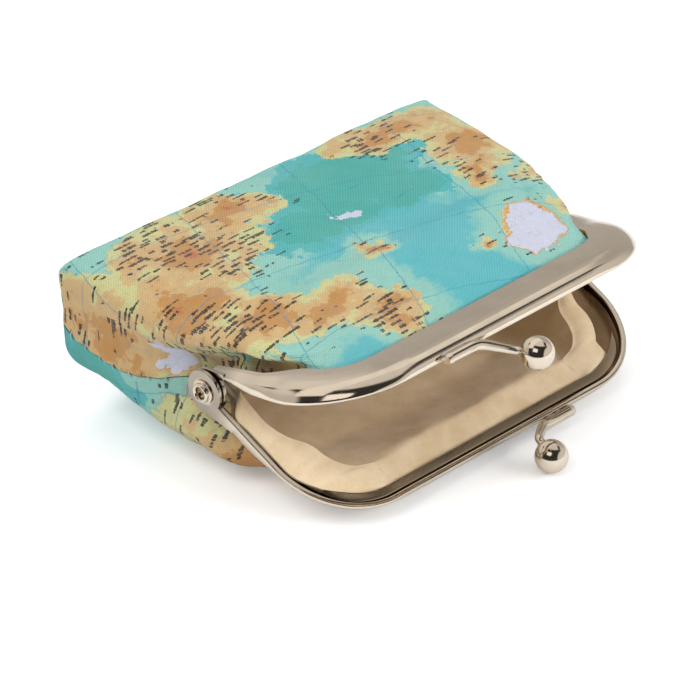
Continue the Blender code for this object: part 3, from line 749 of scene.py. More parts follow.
def canvas(name, land_mm, deep_mm, ice_mm, pocket_shade_mm, dense):
    """Plain-woven canvas with a made-up relief map printed on it, darkened by painted shade in the patches
    given.
    """
    g = Surface(name)
    place = g.cloth_place()
    flat = g.vector("MULTIPLY", place, (1.0, 1.0, 0.0))
    middle = (0.5, 0.5, 0.5)
    wander = g.vector("SUBTRACT", g.noise(flat, 0.11, 5.0, 0.62, colour=True), middle)
    fine = g.vector("SUBTRACT", g.noise(flat, 0.55, 4.0, 0.6, colour=True), middle)
    moved = g.vector("ADD", flat, g.vector("MULTIPLY", wander, (15.0, 15.0, 0.0)))
    moved = g.vector("ADD", moved, g.vector("MULTIPLY", fine, (3.4, 3.4, 0.0)))
    land, deep, ice = (patch_field(g, moved, patches) for patches in (land_mm, deep_mm, ice_mm))
    colour, coast = sea_and_land(g, flat, land, deep, ice)
    bent = g.vector("ADD", flat, g.vector("MULTIPLY", wander, (3.0, 3.0, 0.0)))
    colour = g.mix(grid_lines(g, bent) * 0.55, colour, tone(40, 140, 170))

    settled = g.span(g.noise(flat, 0.06, 3.0), 0.40, 0.62) * dense
    named = g.span(land, -0.45, 0.15) * settled * (1.0 - g.span(ice, -0.12, -0.02))
    close = dashes(g, flat, (3.6, 1.25), (3.1, 0.74, 0.34), named, 3.0)
    loose = dashes(g, flat, (6.1, 1.9), (4.6, 0.70, 0.42), named * 0.6, 41.0)
    colour = g.mix(g.math("MAXIMUM", close, loose) * 0.93, colour, tone(30, 33, 37))
    blue = dashes(g, flat, (7.5, 2.6), (5.0, 0.55, 0.5), (1.0 - coast) * 0.07, 77.0)
    colour = g.mix(blue * 0.7, colour, tone(30, 145, 185))
    dots = g.node("ShaderNodeTexVoronoi", {"Vector": flat, "Scale": 0.34}, feature="F1")
    colour = g.mix((dots < 0.095) * named, colour, tone(196, 60, 50))

    x, y, _ = g.split(flat)
    turn = 2 * math.pi / THREAD_PITCH_MM
    weave = g.math("SINE", x * turn) * g.math("SINE", y * turn)
    slub = g.noise(g.vector("MULTIPLY", flat, (0.5, 3.2, 1.0)), 1.0, 2.0)
    threads = weave * 0.5 + slub * 0.8
    shade = g.span(threads, -0.30, 0.90, 0.80, 1.10)
    shade = g.join(shade, shade, shade)
    faded = g.span(g.noise(flat, 0.05, 3.0), 0.35, 0.7, 0.0, 0.06)
    colour = g.mix(faded, colour, tone(226, 226, 214))
    colour = g.mix(1.0, colour, shade, "MULTIPLY")
    colour = g.mix(1.0, colour, (0.80, 0.81, 0.85, 1.0), "MULTIPLY")
    # Painted shade in the pocket under the lip: the print is darkened there
    if pocket_shade_mm:
        pocket_shade = g.span(patch_field(g, flat, pocket_shade_mm), 0.0, 0.5, 0.0, 0.72)
        colour = g.mix(pocket_shade, colour, tone(92, 74, 34), "MULTIPLY")
    reverse = g.mix(g.noise(flat, 0.3, 4.0), tone(176, 148, 112), tone(138, 108, 70))
    reverse = g.mix(1.0, reverse, shade, "MULTIPLY")
    is_inner = g.split(place)[2] > 0.5
    return g.shaded({
        "Base Color": g.mix(is_inner, colour, reverse),
        "Roughness": 0.82,
        "Specular IOR Level": 0.25,
        "Sheen Weight": 0.10,
        "Normal": g.bump(threads, 0.00011, 0.9),
    })


def brushed(name, light, dark, grain_mm, depth):
    """A brushed pile: soft blotches, fine hair and a little sheen."""
    g = Surface(name)
    flat = g.cloth_place()
    blotch = g.noise(flat, 0.16, 4.0, 0.6)
    hair = g.noise(g.vector("MULTIPLY", flat, (1.0, 0.45, 1.0)), 1 / grain_mm, 3.0, 0.7, twist=0.6)
    colour = g.mix(g.span(blotch, 0.3, 0.72), light, dark)
    return g.shaded({
        "Base Color": g.mix(g.span(hair, 0.35, 0.75, 0.0, 0.35), colour, darker(dark, 0.8)),
        "Roughness": 0.95,
        "Specular IOR Level": 0.15,
        "Sheen Weight": 0.30,
        "Sheen Roughness": 0.5,
        "Normal": g.bump(hair + blotch * 2.0, depth, 0.8),
    })


def thread(name, base):
    g = Surface(name)
    ply = g.noise(g.vector("MULTIPLY", g.object_place(), (2400.0, 2400.0, 2400.0)), 1.0, 2.0)
    return g.shaded({
        "Base Color": g.mix(ply, base, darker(base, 0.55)),
        "Roughness": 0.7,
        "Normal": g.bump(ply, 0.00006, 0.8),
    })


NICKEL = nickel("nickel", (0.75, 0.655, 0.535, 1.0), 0.09, 0.35)
# Painted shade and reflection: a dark brown copy of the nickel for the frame's inner faces
SHADED_INNER_NICKEL = nickel("shaded_inner_nickel", (0.24, 0.155, 0.085, 1.0), 0.24, 0.4)
# Painted shade: the channel strip is a dark brown nickel, as it looks in the frame's shadow
SHADED_STRIP_METAL = nickel("shaded_channel_nickel", (0.40, 0.31, 0.21, 1.0), 0.22, 0.6)
SOLDER = nickel("solder", (0.60, 0.56, 0.51, 1.0), 0.28, 0.5)
UPPER_CANVAS = canvas("upper_print", UPPER_LAND_MM, UPPER_DEEP_MM, UPPER_ICE_MM, UPPER_POCKET_SHADE_MM, 0.85)
LOWER_CANVAS = canvas("lower_print", LOWER_LAND_MM, LOWER_DEEP_MM, LOWER_ICE_MM, (), 0.6)
LINING = brushed("cream_suede", tone(234, 213, 180), tone(217, 190, 149), 0.16, 0.00012)
FLEECE = brushed("fleece", tone(214, 208, 198), tone(196, 188, 176), 0.3, 0.0002)
THREAD = thread("thread", tone(178, 196, 186))
# Painted shadow: the colour of the dark roll set into the seam's gap
PAINTED_SEAM_SHADOW = thread("seam_shadow", tone(40, 56, 54))


# Metal


def outline_place(run, inset):
    """The (side, reach) at this distance along the left half of the U, moved in by inset."""
    corner = FRAME_WIDTH / 2 - CORNER_RADIUS
    if run <= STRAIGHT:
        return -FRAME_WIDTH / 2 + inset, run
    angle = (run - STRAIGHT) / CORNER_RADIUS
    if angle < math.pi / 2:
        radius = CORNER_RADIUS - inset
        return -corner - radius * math.cos(angle), STRAIGHT + radius * math.sin(angle)
    return -corner + run - STRAIGHT - BEND, ARM_LENGTH - inset


def outline_runs(start, corner_steps):
    bar = STRAIGHT + BEND
    runs = []
    if start < STRAIGHT:
        runs = list(np.linspace(start, STRAIGHT, ARM_STEPS, endpoint=False))
    runs += list(np.linspace(max(start, STRAIGHT), bar, corner_steps, endpoint=False))
    runs += list(np.linspace(bar, bar + FRAME_WIDTH / 2 - CORNER_RADIUS, BAR_STEPS))
    return runs


def plate_width(run):
    return blend(ARM_PLATE_WIDTH, PLATE_WIDTH, float(smooth(run, *PLATE_WIDENS)))


def plate_height(share, rim_top, top, rounded):
    flat = float(np.interp(share, *np.transpose(PLATE_SHARES)))
    round_over = float(np.interp(share, *np.transpose(CORNER_SHARES)))
    return blend(rim_top, top, blend(flat, round_over, rounded))


def mirrored(rings):
    left = [[(side, -reach, height) for side, reach, height in ring] for ring in rings]
    right = [[(-x, y, z) for x, y, z in ring] for ring in left[:-1]]
    return left + list(reversed(right))


def pressed_height(share, *section):
    """The plate's outer face as one soft curve through the solids' corners."""
    near = [plate_height(min(max(share + off, 0.0), 1.0), *section) for off in SOFTENING]
    return blend(plate_height(share, *section), sum(near) / len(near), min(share / SOFTENING[-1], 1.0))


def frame_rings(half):
    rings = []
    bead = RIM_THICKNESS / 4
    arcs = np.linspace(0.0, math.pi / 2, BEAD_POINTS)
    for run in outline_runs(half.plate_start, CORNER_STEPS):
        stepped = half.ear_step * (1 - float(smooth(run, *STEP_RUN)))
        base = MATING_GAP / 2 + half.rim_lift * (1 - float(smooth(run, half.plate_start, LIFT_END)))
        grown = float(smooth(run, *half.growth))
        width = plate_width(run) * blend(0.45, 1.0, grown) - stepped
        rounded = float(window(run, ROUND_IN, ROUND_OUT))
        rim_top = max(blend(RIM_HEIGHT, CORNER_RIM_HEIGHT, rounded), base + 2 * bead)
        top = blend(rim_top + bead, PLATE_RISE, grown)
        section = [(bead * (1 - math.sin(a)), base + bead * (1 - math.cos(a))) for a in arcs]
        for share in OUTER_SHARES:
            section.append((width * share, pressed_height(share, rim_top, top, rounded)))
        for share in INNER_SHARES:
            inset = blend(RIM_THICKNESS, width, share)
            section.append((inset, plate_height(inset / width, rim_top, top, rounded) - SHEET))
        section += [
            (RIM_THICKNESS - bead * (1 - math.sin(a)), base + bead * (1 - math.cos(a)))
            for a in reversed(arcs)
        ]
        places = [(outline_place(run, stepped + inset), height) for inset, height in section]
        rings.append([(side, reach, height) for (side, reach), height in places])
    return mirrored(rings)


def ear_mesh(name, neck_reach, neck_low, neck_high):
    """The ear with its neck and its hole, with softened edges, drawn in (reach, height)."""
    ends = [(neck_reach, neck_low), (neck_reach, neck_high)]
    low = math.asin(neck_low / EAR_SEEN_RADIUS)
    high = math.atan2(neck_high, neck_reach) + math.acos(EAR_SEEN_RADIUS / math.hypot(*ends[1]))
    angles = np.linspace(high, low + 2 * math.pi, 73)
    rim = on_circle(EAR_SEEN_RADIUS, angles) + ends
    hole = on_circle(RIVET_RADIUS + RUNNING_GAP, turns(48))
    curve = bpy.data.curves.new(name, "CURVE")
    curve.dimensions = "2D"
    curve.fill_mode = "BOTH"
    curve.bevel_depth = EAR_BEVEL
    curve.bevel_resolution = 2
    curve.offset = -EAR_BEVEL
    curve.extrude = EAR_THICKNESS / 2 - EAR_BEVEL
    for loop in (rim, hole):
        line = curve.splines.new("POLY")
        line.points.add(len(loop) - 1)
        for point, (x, y) in zip(line.points, loop):
            point.co = (x, y, 0.0, 1.0)
        line.use_cyclic_u = True
    holder = new_object(name, curve)
    graph = bpy.context.evaluated_depsgraph_get()
    mesh = bpy.data.meshes.new_from_object(holder.evaluated_get(graph))
    bpy.data.objects.remove(holder)
    return mesh


def join(name, objects, material):
    builder = bmesh.new()
    for obj in objects:
        obj.data.transform(obj.matrix_world)
        builder.from_mesh(obj.data)
        bpy.data.objects.remove(obj)
    bmesh.ops.remove_doubles(builder, verts=builder.verts, dist=0.000002)
    return add_object(name, built_mesh(name, builder), material)


def build_frame(half):
    shell_part = loft(half.name + "_shell", frame_rings(half), NICKEL, half.place)
    count = len(OUTER_SHARES) + len(INNER_SHARES) + 2 * BEAD_POINTS
    first_inner = BEAD_POINTS + len(OUTER_SHARES)
    # The inner faces take the dark copy of the nickel, which paints their shade and the lining's
    # reflection
    for face in shell_part.data.polygons:
        is_inner = first_inner <= face.index % count < first_inner + len(INNER_SHARES)
        face.material_index = int(is_inner and len(face.vertices) == 4)
    parts = [shell_part]
    turn = Matrix(((0, 0, -1, 0), (-1, 0, 0, 0), (0, 1, 0, 0), (0, 0, 0, 1)))
    offset = FRAME_WIDTH / 2 + EAR_SEEN_PROUD - EAR_THICKNESS / 2 - half.ear_step
    for side in (-1, 1):
        ear = add_object("ear", ear_mesh("ear", *half.neck), NICKEL)
        ear.matrix_world = half.place @ Matrix.Translation((side * offset, 0.0, 0.0)) @ turn
        parts.append(ear)
    bpy.context.view_layer.update()
    made = join(half.name + "_frame_pressing", parts, NICKEL)
    made.data.materials.append(SHADED_INNER_NICKEL)
    sharpen(made, 50)
    metal_piece(made, half.body, half.name + "_frame")


def build_strip(half):
    middle = STRIP_HEIGHT + STRIP_THICKNESS / 2
    rings = []
    for run in outline_runs(STRIP_START, CORNER_STEPS // 2):
        grown = math.sqrt(min((run - STRIP_START) / STRIP_TAPER + 0.02, 1.0))
        centre = (STRIP_INSET + STRIP_SEEN_INNER) / 2
        reach = (STRIP_SEEN_INNER - STRIP_INSET) / 2 * grown
        ring = []
        for angle in turns(16):
            across = math.copysign(abs(math.cos(angle)) ** 0.5, math.cos(angle)) * reach
            lift = math.copysign(abs(math.sin(angle)) ** 0.7, math.sin(angle)) * STRIP_THICKNESS / 2
            ring.append((*outline_place(run, centre + across), middle + lift - 0.0002 * across / reach))
        rings.append(ring)
    # The strip wears the dark nickel that paints its shade
    strip = loft(half.name + "_channel_strip", mirrored(rings), SHADED_STRIP_METAL, half.place)
    sharpen(strip, 60)
    metal_piece(strip, half.body, half.name + "_strip")


def lathe(name, profile, material, sides=64):
    """A closed profile of (radius, height) turned round Z."""
    points = []
    for i in range(sides):
        angle = 2 * math.pi * i / sides
        points += [(r * math.cos(angle), r * math.sin(angle), h) for r, h in profile]
    faces = grid_faces(sides, len(profile), wrap=True, ring=True)
    return add_object(name, mesh_of(name, points, faces), material)


def soft_profile(profile):
    """The closed profile with its corners rounded by cutting them again and again."""
    points = [np.array(point) for point in profile]
    for _ in range(2):
        cut = []
        for a, b in zip(points, points[1:] + points[:1]):
            cut += [a * 0.75 + b * 0.25, a * 0.25 + b * 0.75]
        points = cut
    return [tuple(point) for point in points]


def build_rivet(label, side):
    outer = FRAME_WIDTH / 2 + EAR_SEEN_PROUD + HEAD_GAP
    top = FRAME_WIDTH / 2 + EAR_PROUD + RUNNING_GAP + RIVET_RIM_HEIGHT
    bore = RIVET_BORE_RADIUS
    flare = RIVET_SEAT - RIVET_FLARE_LENGTH
    profile = [(blend(bore, RIVET_RIM_RADIUS, out), blend(outer, top, up)) for out, up in RIVET_HEAD]
    profile += [
        (RIVET_RADIUS, outer),
        (RIVET_RADIUS, RIVET_SEAT),
        (RIVET_FLARE_RADIUS, blend(RIVET_SEAT, flare, 0.2)),
        (RIVET_FLARE_RADIUS, flare),
        (blend(RIVET_RADIUS, RIVET_FLARE_RADIUS, 0.4), flare),
        (blend(bore, RIVET_RADIUS, 0.3), RIVET_SEAT),
        (bore, blend(RIVET_SEAT, outer, 0.5)),
    ]
    rivet = lathe(label + "_tube_rivet", soft_profile(profile), NICKEL)
    rivet.data.transform(HINGE @ Matrix.Rotation(side * math.pi / 2, 4, "Y"))
    metal_piece(rivet, "lower_half", label + "_rivet")


def half_point(side, reach, height):
    return Vector((side, -reach, height))


BALL_CENTRE = half_point(-BALL_SIDE, BALL_REACH, -BALL_LEAN)


def stem_route():
    along = ARM_LENGTH + STEM_RADIUS + RUNNING_GAP
    end = half_point(-STEM_END_SIDE, along, STEM_RISE)
    bend = half_point(-STEM_BEND_SIDE, along, STEM_RISE)
    knee = half_point(-STEM_KNEE_SIDE, along + STEM_KNEE_OUT, -STEM_KNEE_LEAN)
    tip = BALL_CENTRE - (BALL_CENTRE - knee).normalized() * (BALL_RADIUS * 0.7)
    return end, bend, knee, tip


def tube(name, points, radii, material, sides=28):
    """A round bar along points, as thick at each as its radius says."""
    places = np.array([tuple(p) for p in points])
    radii = np.array(radii, float)
    ways = ways_along(places)
    across = np.cross(ways[0], (0.0, 0.0, 1.0))
    across /= np.linalg.norm(across)
    rings = []
    for place, way, radius in zip(places, ways, radii):
        across = across - way * (across @ way)
        across /= np.linalg.norm(across)
        other = np.cross(way, across)
        rings.append([place + radius * (across * math.cos(a) + other * math.sin(a)) for a in turns(sides)])
    return add_object(name, mesh_of(name, *closed_tube(rings)), material)


def stem_line(corners):
    """The stem's route with its bends rounded."""
    route = []
    for a, b in zip(corners, corners[1:]):
        route += [a.lerp(b, k / STEM_STEPS) for k in range(STEM_STEPS)]
    line = np.array([tuple(p) for p in (*route, corners[-1])])
    for _ in range(STEM_ROUNDINGS):
        line[1:-1] = (line[:-2] + 2 * line[1:-1] + line[2:]) / 4
    return line


def stem_radii(line, corners):
    """Thinner past the knee, a little thicker at the ball and rounded off at the foot."""
    lengths = np.cumsum([0.0] + [(b - a).length for a, b in zip(corners, corners[1:])])
    run = run_along(line)
    thin = smooth(run, lengths[1] * 0.9, lengths[2] * 1.05)
    near_ball = smooth(run, run[-1] - 0.0011, run[-1] - 0.0004)
    radii = blend(STEM_RADIUS, STEM_NECK_RADIUS, thin) + STEM_SWELLING * near_ball
    edge = np.minimum(run / STEM_EDGE, 1.0)
    return radii * np.sqrt(np.clip(1 - (1 - edge) ** 2 * 0.35, 0.05, 1))


def ball_profile():
    """From the bottom of the ball to the small collar where the stem enters it."""
    profile = on_circle(BALL_RADIUS, np.radians(np.linspace(-90, BALL_TOP_ANGLE, BALL_POINTS)))
    profile[0] = (NEAR_AXIS, -BALL_RADIUS)
    collar = STEM_NECK_RADIUS + 0.00012
    height = profile[-1][1]
    return profile + [
        (collar, height + 0.00003), (collar * 0.9, height - 0.0006), (NEAR_AXIS, height - 0.0006),
    ]


def solder_mesh(name, end, bend):
    builder = bmesh.new()
    for along, lift, size, long in SOLDER_LUMPS:
        centre = end + (bend - end).normalized() * along + Vector((0.0, STEM_RADIUS * 0.72, lift + 0.0002))
        for vert in bmesh.ops.create_icosphere(builder, subdivisions=4, radius=size)["verts"]:
            wobble = 1 + 0.16 * math.sin(vert.co.x * 9000 + along * 1e4) * math.cos(vert.co.y * 7000)
            vert.co = Vector((vert.co.x * long, vert.co.y * 0.8, vert.co.z * 0.9)) * wobble + centre
    return built_mesh(name, builder)


def build_clasp(half):
    corners = stem_route()
    line = stem_line(corners)
    points = [half.place @ Vector(p) for p in line]
    stem = tube(half.name + "_stem", points, stem_radii(line, corners), NICKEL)
    sharpen(stem, 50)
    metal_piece(stem, half.body, half.name + "_clasp_stem")

    end, bend, knee, _ = corners
    ball = lathe(half.name + "_ball", ball_profile(), NICKEL, 72)
    turn = (knee - BALL_CENTRE).to_track_quat("Z", "Y").to_matrix().to_4x4()
    ball.data.transform(half.place @ Matrix.Translation(BALL_CENTRE) @ turn)
    metal_piece(ball, half.body, half.name + "_clasp_ball")

    lumps = add_object(half.name + "_solder", solder_mesh(half.name + "_solder", end, bend), SOLDER)
    lumps.data.transform(half.place)
    metal_piece(lumps, half.body)


# The bag


def channel_half_width(reach, inset):
    if reach <= STRAIGHT:
        return FRAME_WIDTH / 2 - inset
    radius = CORNER_RADIUS - inset
    across = max(radius * radius - (reach - STRAIGHT) ** 2, 0.0)
    return FRAME_WIDTH / 2 - CORNER_RADIUS + math.sqrt(across)


def reach_run(reach):
    if reach <= STRAIGHT:
        return reach
    return STRAIGHT + CORNER_RADIUS * math.asin(min((reach - STRAIGHT) / CORNER_RADIUS, 1.0))


def superellipse(share, squareness):
    return np.maximum(1 - share**squareness, 0.0) ** (1 / squareness)


def arch(foot, belly, flare_start, flare_length, rise, most, squareness, depth, drop):
    """(across, up) from left to right over an arch, as in the solids but finer."""
    corner = 0.5 ** (1 / squareness)
    across = np.concatenate([superellipse(corner * SIDE_RUN, squareness), corner * TOP_RUN])
    up_share = np.concatenate([corner * SIDE_RUN, superellipse(corner * TOP_RUN, squareness)])
    up = np.minimum(rise * up_share, most)
    width = blend(foot, belly, smooth(up, flare_start, flare_start + flare_length))
    sunk = smooth(up_share, SINK_START_SHARE, 1.0)
    at_foot = drop * (1 - smooth(up, 0.0, FOOT_HEIGHT))
    x = (width - depth) * across
    z = np.maximum(up - blend(at_foot, depth, sunk), -drop)
    return np.concatenate([-x, x[:-1][::-1]]), np.concatenate([z, z[:-1][::-1]])


def front_row(place, shape, half, depth, drop, inset_at, pillow):
    reach_share, lean = place
    rise_share, belly_share, squareness = shape
    reach = reach_share * ARM_LENGTH
    foot = channel_half_width(reach, plate_width(reach_run(reach)) + SEAM_GAP)
    belly = max(foot, belly_share * BAG_HALF_WIDTH)
    clamped = float(smooth(reach, *half.clamp))
    margins = []
    for side in (-1, 1):
        out = channel_half_width(reach, inset_at(reach, side, half))
        margins.append(max(foot - depth, blend(foot - depth, out, clamped)))
    base = CLAMP_HEIGHT - FREE_DROP * (1 - float(smooth(reach, 0.0, FREE_END)))
    rise = rise_share * BAG_TOP
    turn = lean * half.tilt
    base_height = reach * math.sin(half.tilt) + base * math.cos(half.tilt)
    most = rise if half is UPPER else (HINGE_HEIGHT - base_height) / math.cos(turn)
    reaches, *flares = half.lip
    clear, length = (float(np.interp(reach, reaches, values)) for values in flares)
    x, up = arch(foot, belly, PLATE_RISE + clear - base, length, rise, most, squareness, depth, drop)
    left = np.linspace(-margins[0], x[0], TUCK_COLUMNS, endpoint=False)
    right = np.linspace(margins[1], x[-1], TUCK_COLUMNS, endpoint=False)[::-1]
    x = np.concatenate([left, x, right])
    flange = pillow * np.sin(np.linspace(0.0, math.pi, TUCK_COLUMNS)) - drop
    up = np.concatenate([flange, up, flange[::-1]])
    y = -reach * math.cos(half.tilt) + base * math.sin(half.tilt) + up * math.sin(turn)
    z = base_height + up * math.cos(turn)
    return np.stack([x, HINGE_Y + y, HINGE_HEIGHT + half.up * z], axis=1)


def rear_row(place, shape, half, depth):
    y_share, spread_share, seam_share = place
    extreme_share, belly_share, squareness = shape
    seam = seam_share * BAG_TOP + half.up * SEAM_GAP / 2
    rise = max(half.up * (extreme_share * BAG_TOP - seam), 0.0)
    most = rise if half is UPPER else seam
    foot = blend(HINGE_HALF_WIDTH, BAG_HALF_WIDTH, spread_share)
    belly = belly_share * BAG_HALF_WIDTH
    x, up = arch(foot, belly, FLARE_START, FLARE_LENGTH, rise, most, squareness, depth, 0.0)
    x = np.concatenate([np.full(TUCK_COLUMNS, x[0]), x, np.full(TUCK_COLUMNS, x[-1])])
    up = np.concatenate([np.full(TUCK_COLUMNS, up[0]), up, np.full(TUCK_COLUMNS, up[-1])])
    y = y_share * (BAG_DEPTH - depth) - BAG_SKEW * y_share * y_share / BAG_HALF_WIDTH * x
    return np.stack([x, HINGE_Y + y, seam + half.up * up], axis=1)


def skin(half, depth, drop, inset_at, first, pillow=0.0):
    """A fine grid of points over one face of a layer, front row first."""
    rows = []
    for place, shape in list(zip(FRONT_SHARES, half.front))[first:]:
        rows.append(front_row(place, shape, half, depth, drop, inset_at, pillow))
    for place, shape in zip(REAR_SHARES, half.rear):
        rows.append(rear_row(place, shape, half, depth))
    return np.array(rows)


def right_inset(reach):
    """On the right of the lower half the cloth sits further in and leaves the channel bare."""
    bare = min(RIGHT_BARE_INSET, plate_width(reach_run(reach)) - SHEET)
    return blend(bare, CLAMP_INSET, float(smooth(reach, *RIGHT_TUCK)))


def canvas_inset(reach, side, half):
    if half is LOWER and side > 0:
        return right_inset(reach) - LAYER_GAP
    return CLAMP_INSET * plate_width(reach_run(reach)) / PLATE_WIDTH


def lining_inset(reach, side, half):
    if half is LOWER and side > 0:
        return right_inset(reach)
    return blend(half.lining_inset, CLAMP_INSET, float(smooth(reach, *LINING_TUCK)))


def row_places(rows):
    """Distance along the middle of the panel at each row, in metres."""
    middle = rows.shape[1] // 2
    quarter = rows.shape[1] // 3
    steps = np.linalg.norm(np.diff(rows, axis=0), axis=2)
    mean = (steps[:, middle] + steps[:, quarter]) / 2 + 1e-5
    return np.concatenate([[0.0], np.cumsum(mean)])


def normals_of(grid):
    along = np.gradient(grid, axis=0)
    across = np.gradient(grid, axis=1)
    normal = np.cross(across, along)
    length = np.linalg.norm(normal, axis=2)
    return normal / np.maximum(length, 1e-12)[:, :, None]


def blurred(grid, times):
    for _ in range(times):
        grid = grid.copy()
        grid[1:-1] = (grid[:-2] + 2 * grid[1:-1] + grid[2:]) / 4
        grid[:, 1:-1] = (grid[:, :-2] + 2 * grid[:, 1:-1] + grid[:, 2:]) / 4
    return grid


def ways_out(grid, times, half):
    """Directions out of the bag at each point, evened out over its neighbours."""
    normals = blurred(normals_of(blurred(grid, times)), times)
    points_up = normals[len(grid) // 2, grid.shape[1] // 2, 2] > 0
    return normals * (half.up if points_up else -half.up)


def ridge(x, y, start, end, width, height):
    """A soft ridge, or a valley where height is below 0, along a line seen from above."""
    ax, ay = start
    bx, by = end
    length = math.hypot(bx - ax, by - ay)
    along = ((x - ax) * (bx - ax) + (y - ay) * (by - ay)) / length
    off = ((x - ax) * (by - ay) - (y - ay) * (bx - ax)) / length
    return height * bell(off, width) * window(along, (-width, width), (length - width, length + width))


def folds(grid, half):
    """How far each point stands off the plain shape, in metres."""
    x = grid[:, :, 0] * 1000
    y = (grid[:, :, 1] - HINGE_Y) * 1000
    z = grid[:, :, 2] * 1000
    off = np.zeros(x.shape)
    for fold in half.folds_mm:
        off += ridge(x, y, *fold)
    slow = np.sin(x * 0.21 + 1.3) * np.sin(y * 0.27 + 0.4) + 0.6 * np.sin(x * 0.43 - y * 0.31 + 2.0)
    fine = np.sin(x * 1.15 + 0.8 * np.sin(y * 0.5)) * np.sin(y * 0.83 + z * 0.4 + 0.5 * np.sin(x * 0.37))
    at_seam = bell(z - SEAM_HEIGHT_MM, 5.0) * smooth(y, 4.0, 10.0)
    puckers = np.sin(y * 2.1 + 0.7 * np.sin(y * 0.6)) * at_seam
    return (off + 0.12 * slow + 0.035 * fine + 0.16 * puckers) / 1000


def lip(grid):
    """How the cloth leans out over the left upper arm and in over the right one, and its fine creases."""
    to_half = np.array(UPPER_PLACE.inverted())
    local = grid @ to_half[:3, :3].T + to_half[:3, 3]
    side, reach, height = local[:, :, 0], -local[:, :, 1], local[:, :, 2]
    over = height - PLATE_RISE - np.interp(reach, FOLD_REACHES, FOLD_HEIGHTS)
    out = np.interp(reach, FOLD_REACHES, FOLD_OUTS) * window(over, *FOLD_OVER)
    pocket = window(reach, *POCKET_REACH) * bell(over + 0.0024, 0.0012)
    sunk = window(height, *SINK_HEIGHT) * window(reach, *SINK_REACH)
    push = np.zeros(grid.shape)
    push[:, :, 0] = (POCKET_DEPTH * pocket - out) * smooth(-side, 0.027, 0.033)
    push[:, :, 0] -= RIGHT_SINK * sunk * smooth(side, 0.028, 0.034)
    near = window(reach, *CREASE_REACH) * smooth(np.abs(side), 0.026, 0.033)
    wave = np.sin(2 * math.pi * over / 0.0012 + 160 * reach) + 0.6 * np.sin(2 * math.pi * over / 0.00075)
    return push, CREASE_HEIGHT * wave * near * bell(over - 0.0006, 0.0026)


def seam_bulge(grid, half):
    """The cloth rolls out beside the side seam and gathers a little at each stitch."""
    y = grid[:, :, 1] - HINGE_Y
    backs, _, seams = np.transpose(REAR_SHARES[:SEAM_ROWS])
    height = np.abs(grid[:, :, 2] - np.interp(y, backs * BAG_DEPTH, seams * BAG_TOP))
    along = window(y, *ROLL_REACH) * smooth(np.abs(grid[:, :, 0]), 0.030, 0.036)
    gather = 1 + 0.30 * np.cos(2 * math.pi * y / STITCH_PITCH)
    return half.roll * gather * along * bell(height - 0.0006, 0.0013)


def free_share(grid, half):
    """0 where the cloth is gripped at the frame or the seam, 1 where it is free."""
    rows, columns, _ = grid.shape
    y = grid[:, :, 1] - HINGE_Y
    middle = (columns - 1) / 2
    edge = 1 - np.abs(np.arange(columns) - middle) / middle
    share = smooth(edge, *FREE_EDGE)
    back = smooth(np.arange(rows)[::-1], *FREE_ROWS)
    free = (1 - smooth(-y, *FRONT_GRIP)) * share[None, :] * back[:, None]
    if half is LOWER:
        free = free * smooth(grid[:, :, 2], *FLOOR_GRIP)
    return free


def shell(name, outer, inner, flat, material):
    """A closed sheet between two grids, with its place on the cloth kept at each point."""
    rows, columns, _ = outer.shape
    count = rows * columns
    points = np.concatenate([outer.reshape(-1, 3), inner.reshape(-1, 3)])
    faces = grid_faces(rows, columns)
    faces += [tuple(reversed([i + count for i in face])) for face in faces]
    border = list(range(columns))
    border += [i * columns + columns - 1 for i in range(1, rows)]
    border += [(rows - 1) * columns + j for j in range(columns - 2, -1, -1)]
    border += [i * columns for i in range(rows - 2, 0, -1)]
    for a, b in zip(border, border[1:] + border[:1]):
        faces.append((b, a, a + count, b + count))
    mesh = mesh_of(name, points, faces)
    place = mesh.attributes.new("cloth_mm", "FLOAT_VECTOR", "POINT")
    both = np.concatenate([flat.reshape(-1, 3), flat.reshape(-1, 3)]).astype(np.float32)
    both[count:, 2] = 1.0
    place.data.foreach_set("vector", both.ravel())
    obj = add_object(name, mesh, material)
    sharpen(obj, 60)
    return obj


def cloth_places(grid):
    """Where each point lies on the flat cloth: across from the middle, then back from the front."""
    steps = np.linalg.norm(np.diff(grid, axis=1), axis=2)
    across = np.concatenate([np.zeros((grid.shape[0], 1)), np.cumsum(steps, axis=1)], axis=1)
    middle = grid.shape[1] // 2
    across = across - across[:, middle][:, None]
    back = row_places(grid)[:, None] * np.ones(across.shape)
    return np.stack([across, back, np.zeros(across.shape)], axis=2) * 1000


def cross_hinge(obj):
    """Bakes the piece's place into its mesh."""
    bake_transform(obj)


def say_sheet(outer):
    along, across = outer[1:, :-1] - outer[:-1, :-1], outer[:-1, 1:] - outer[:-1, :-1]


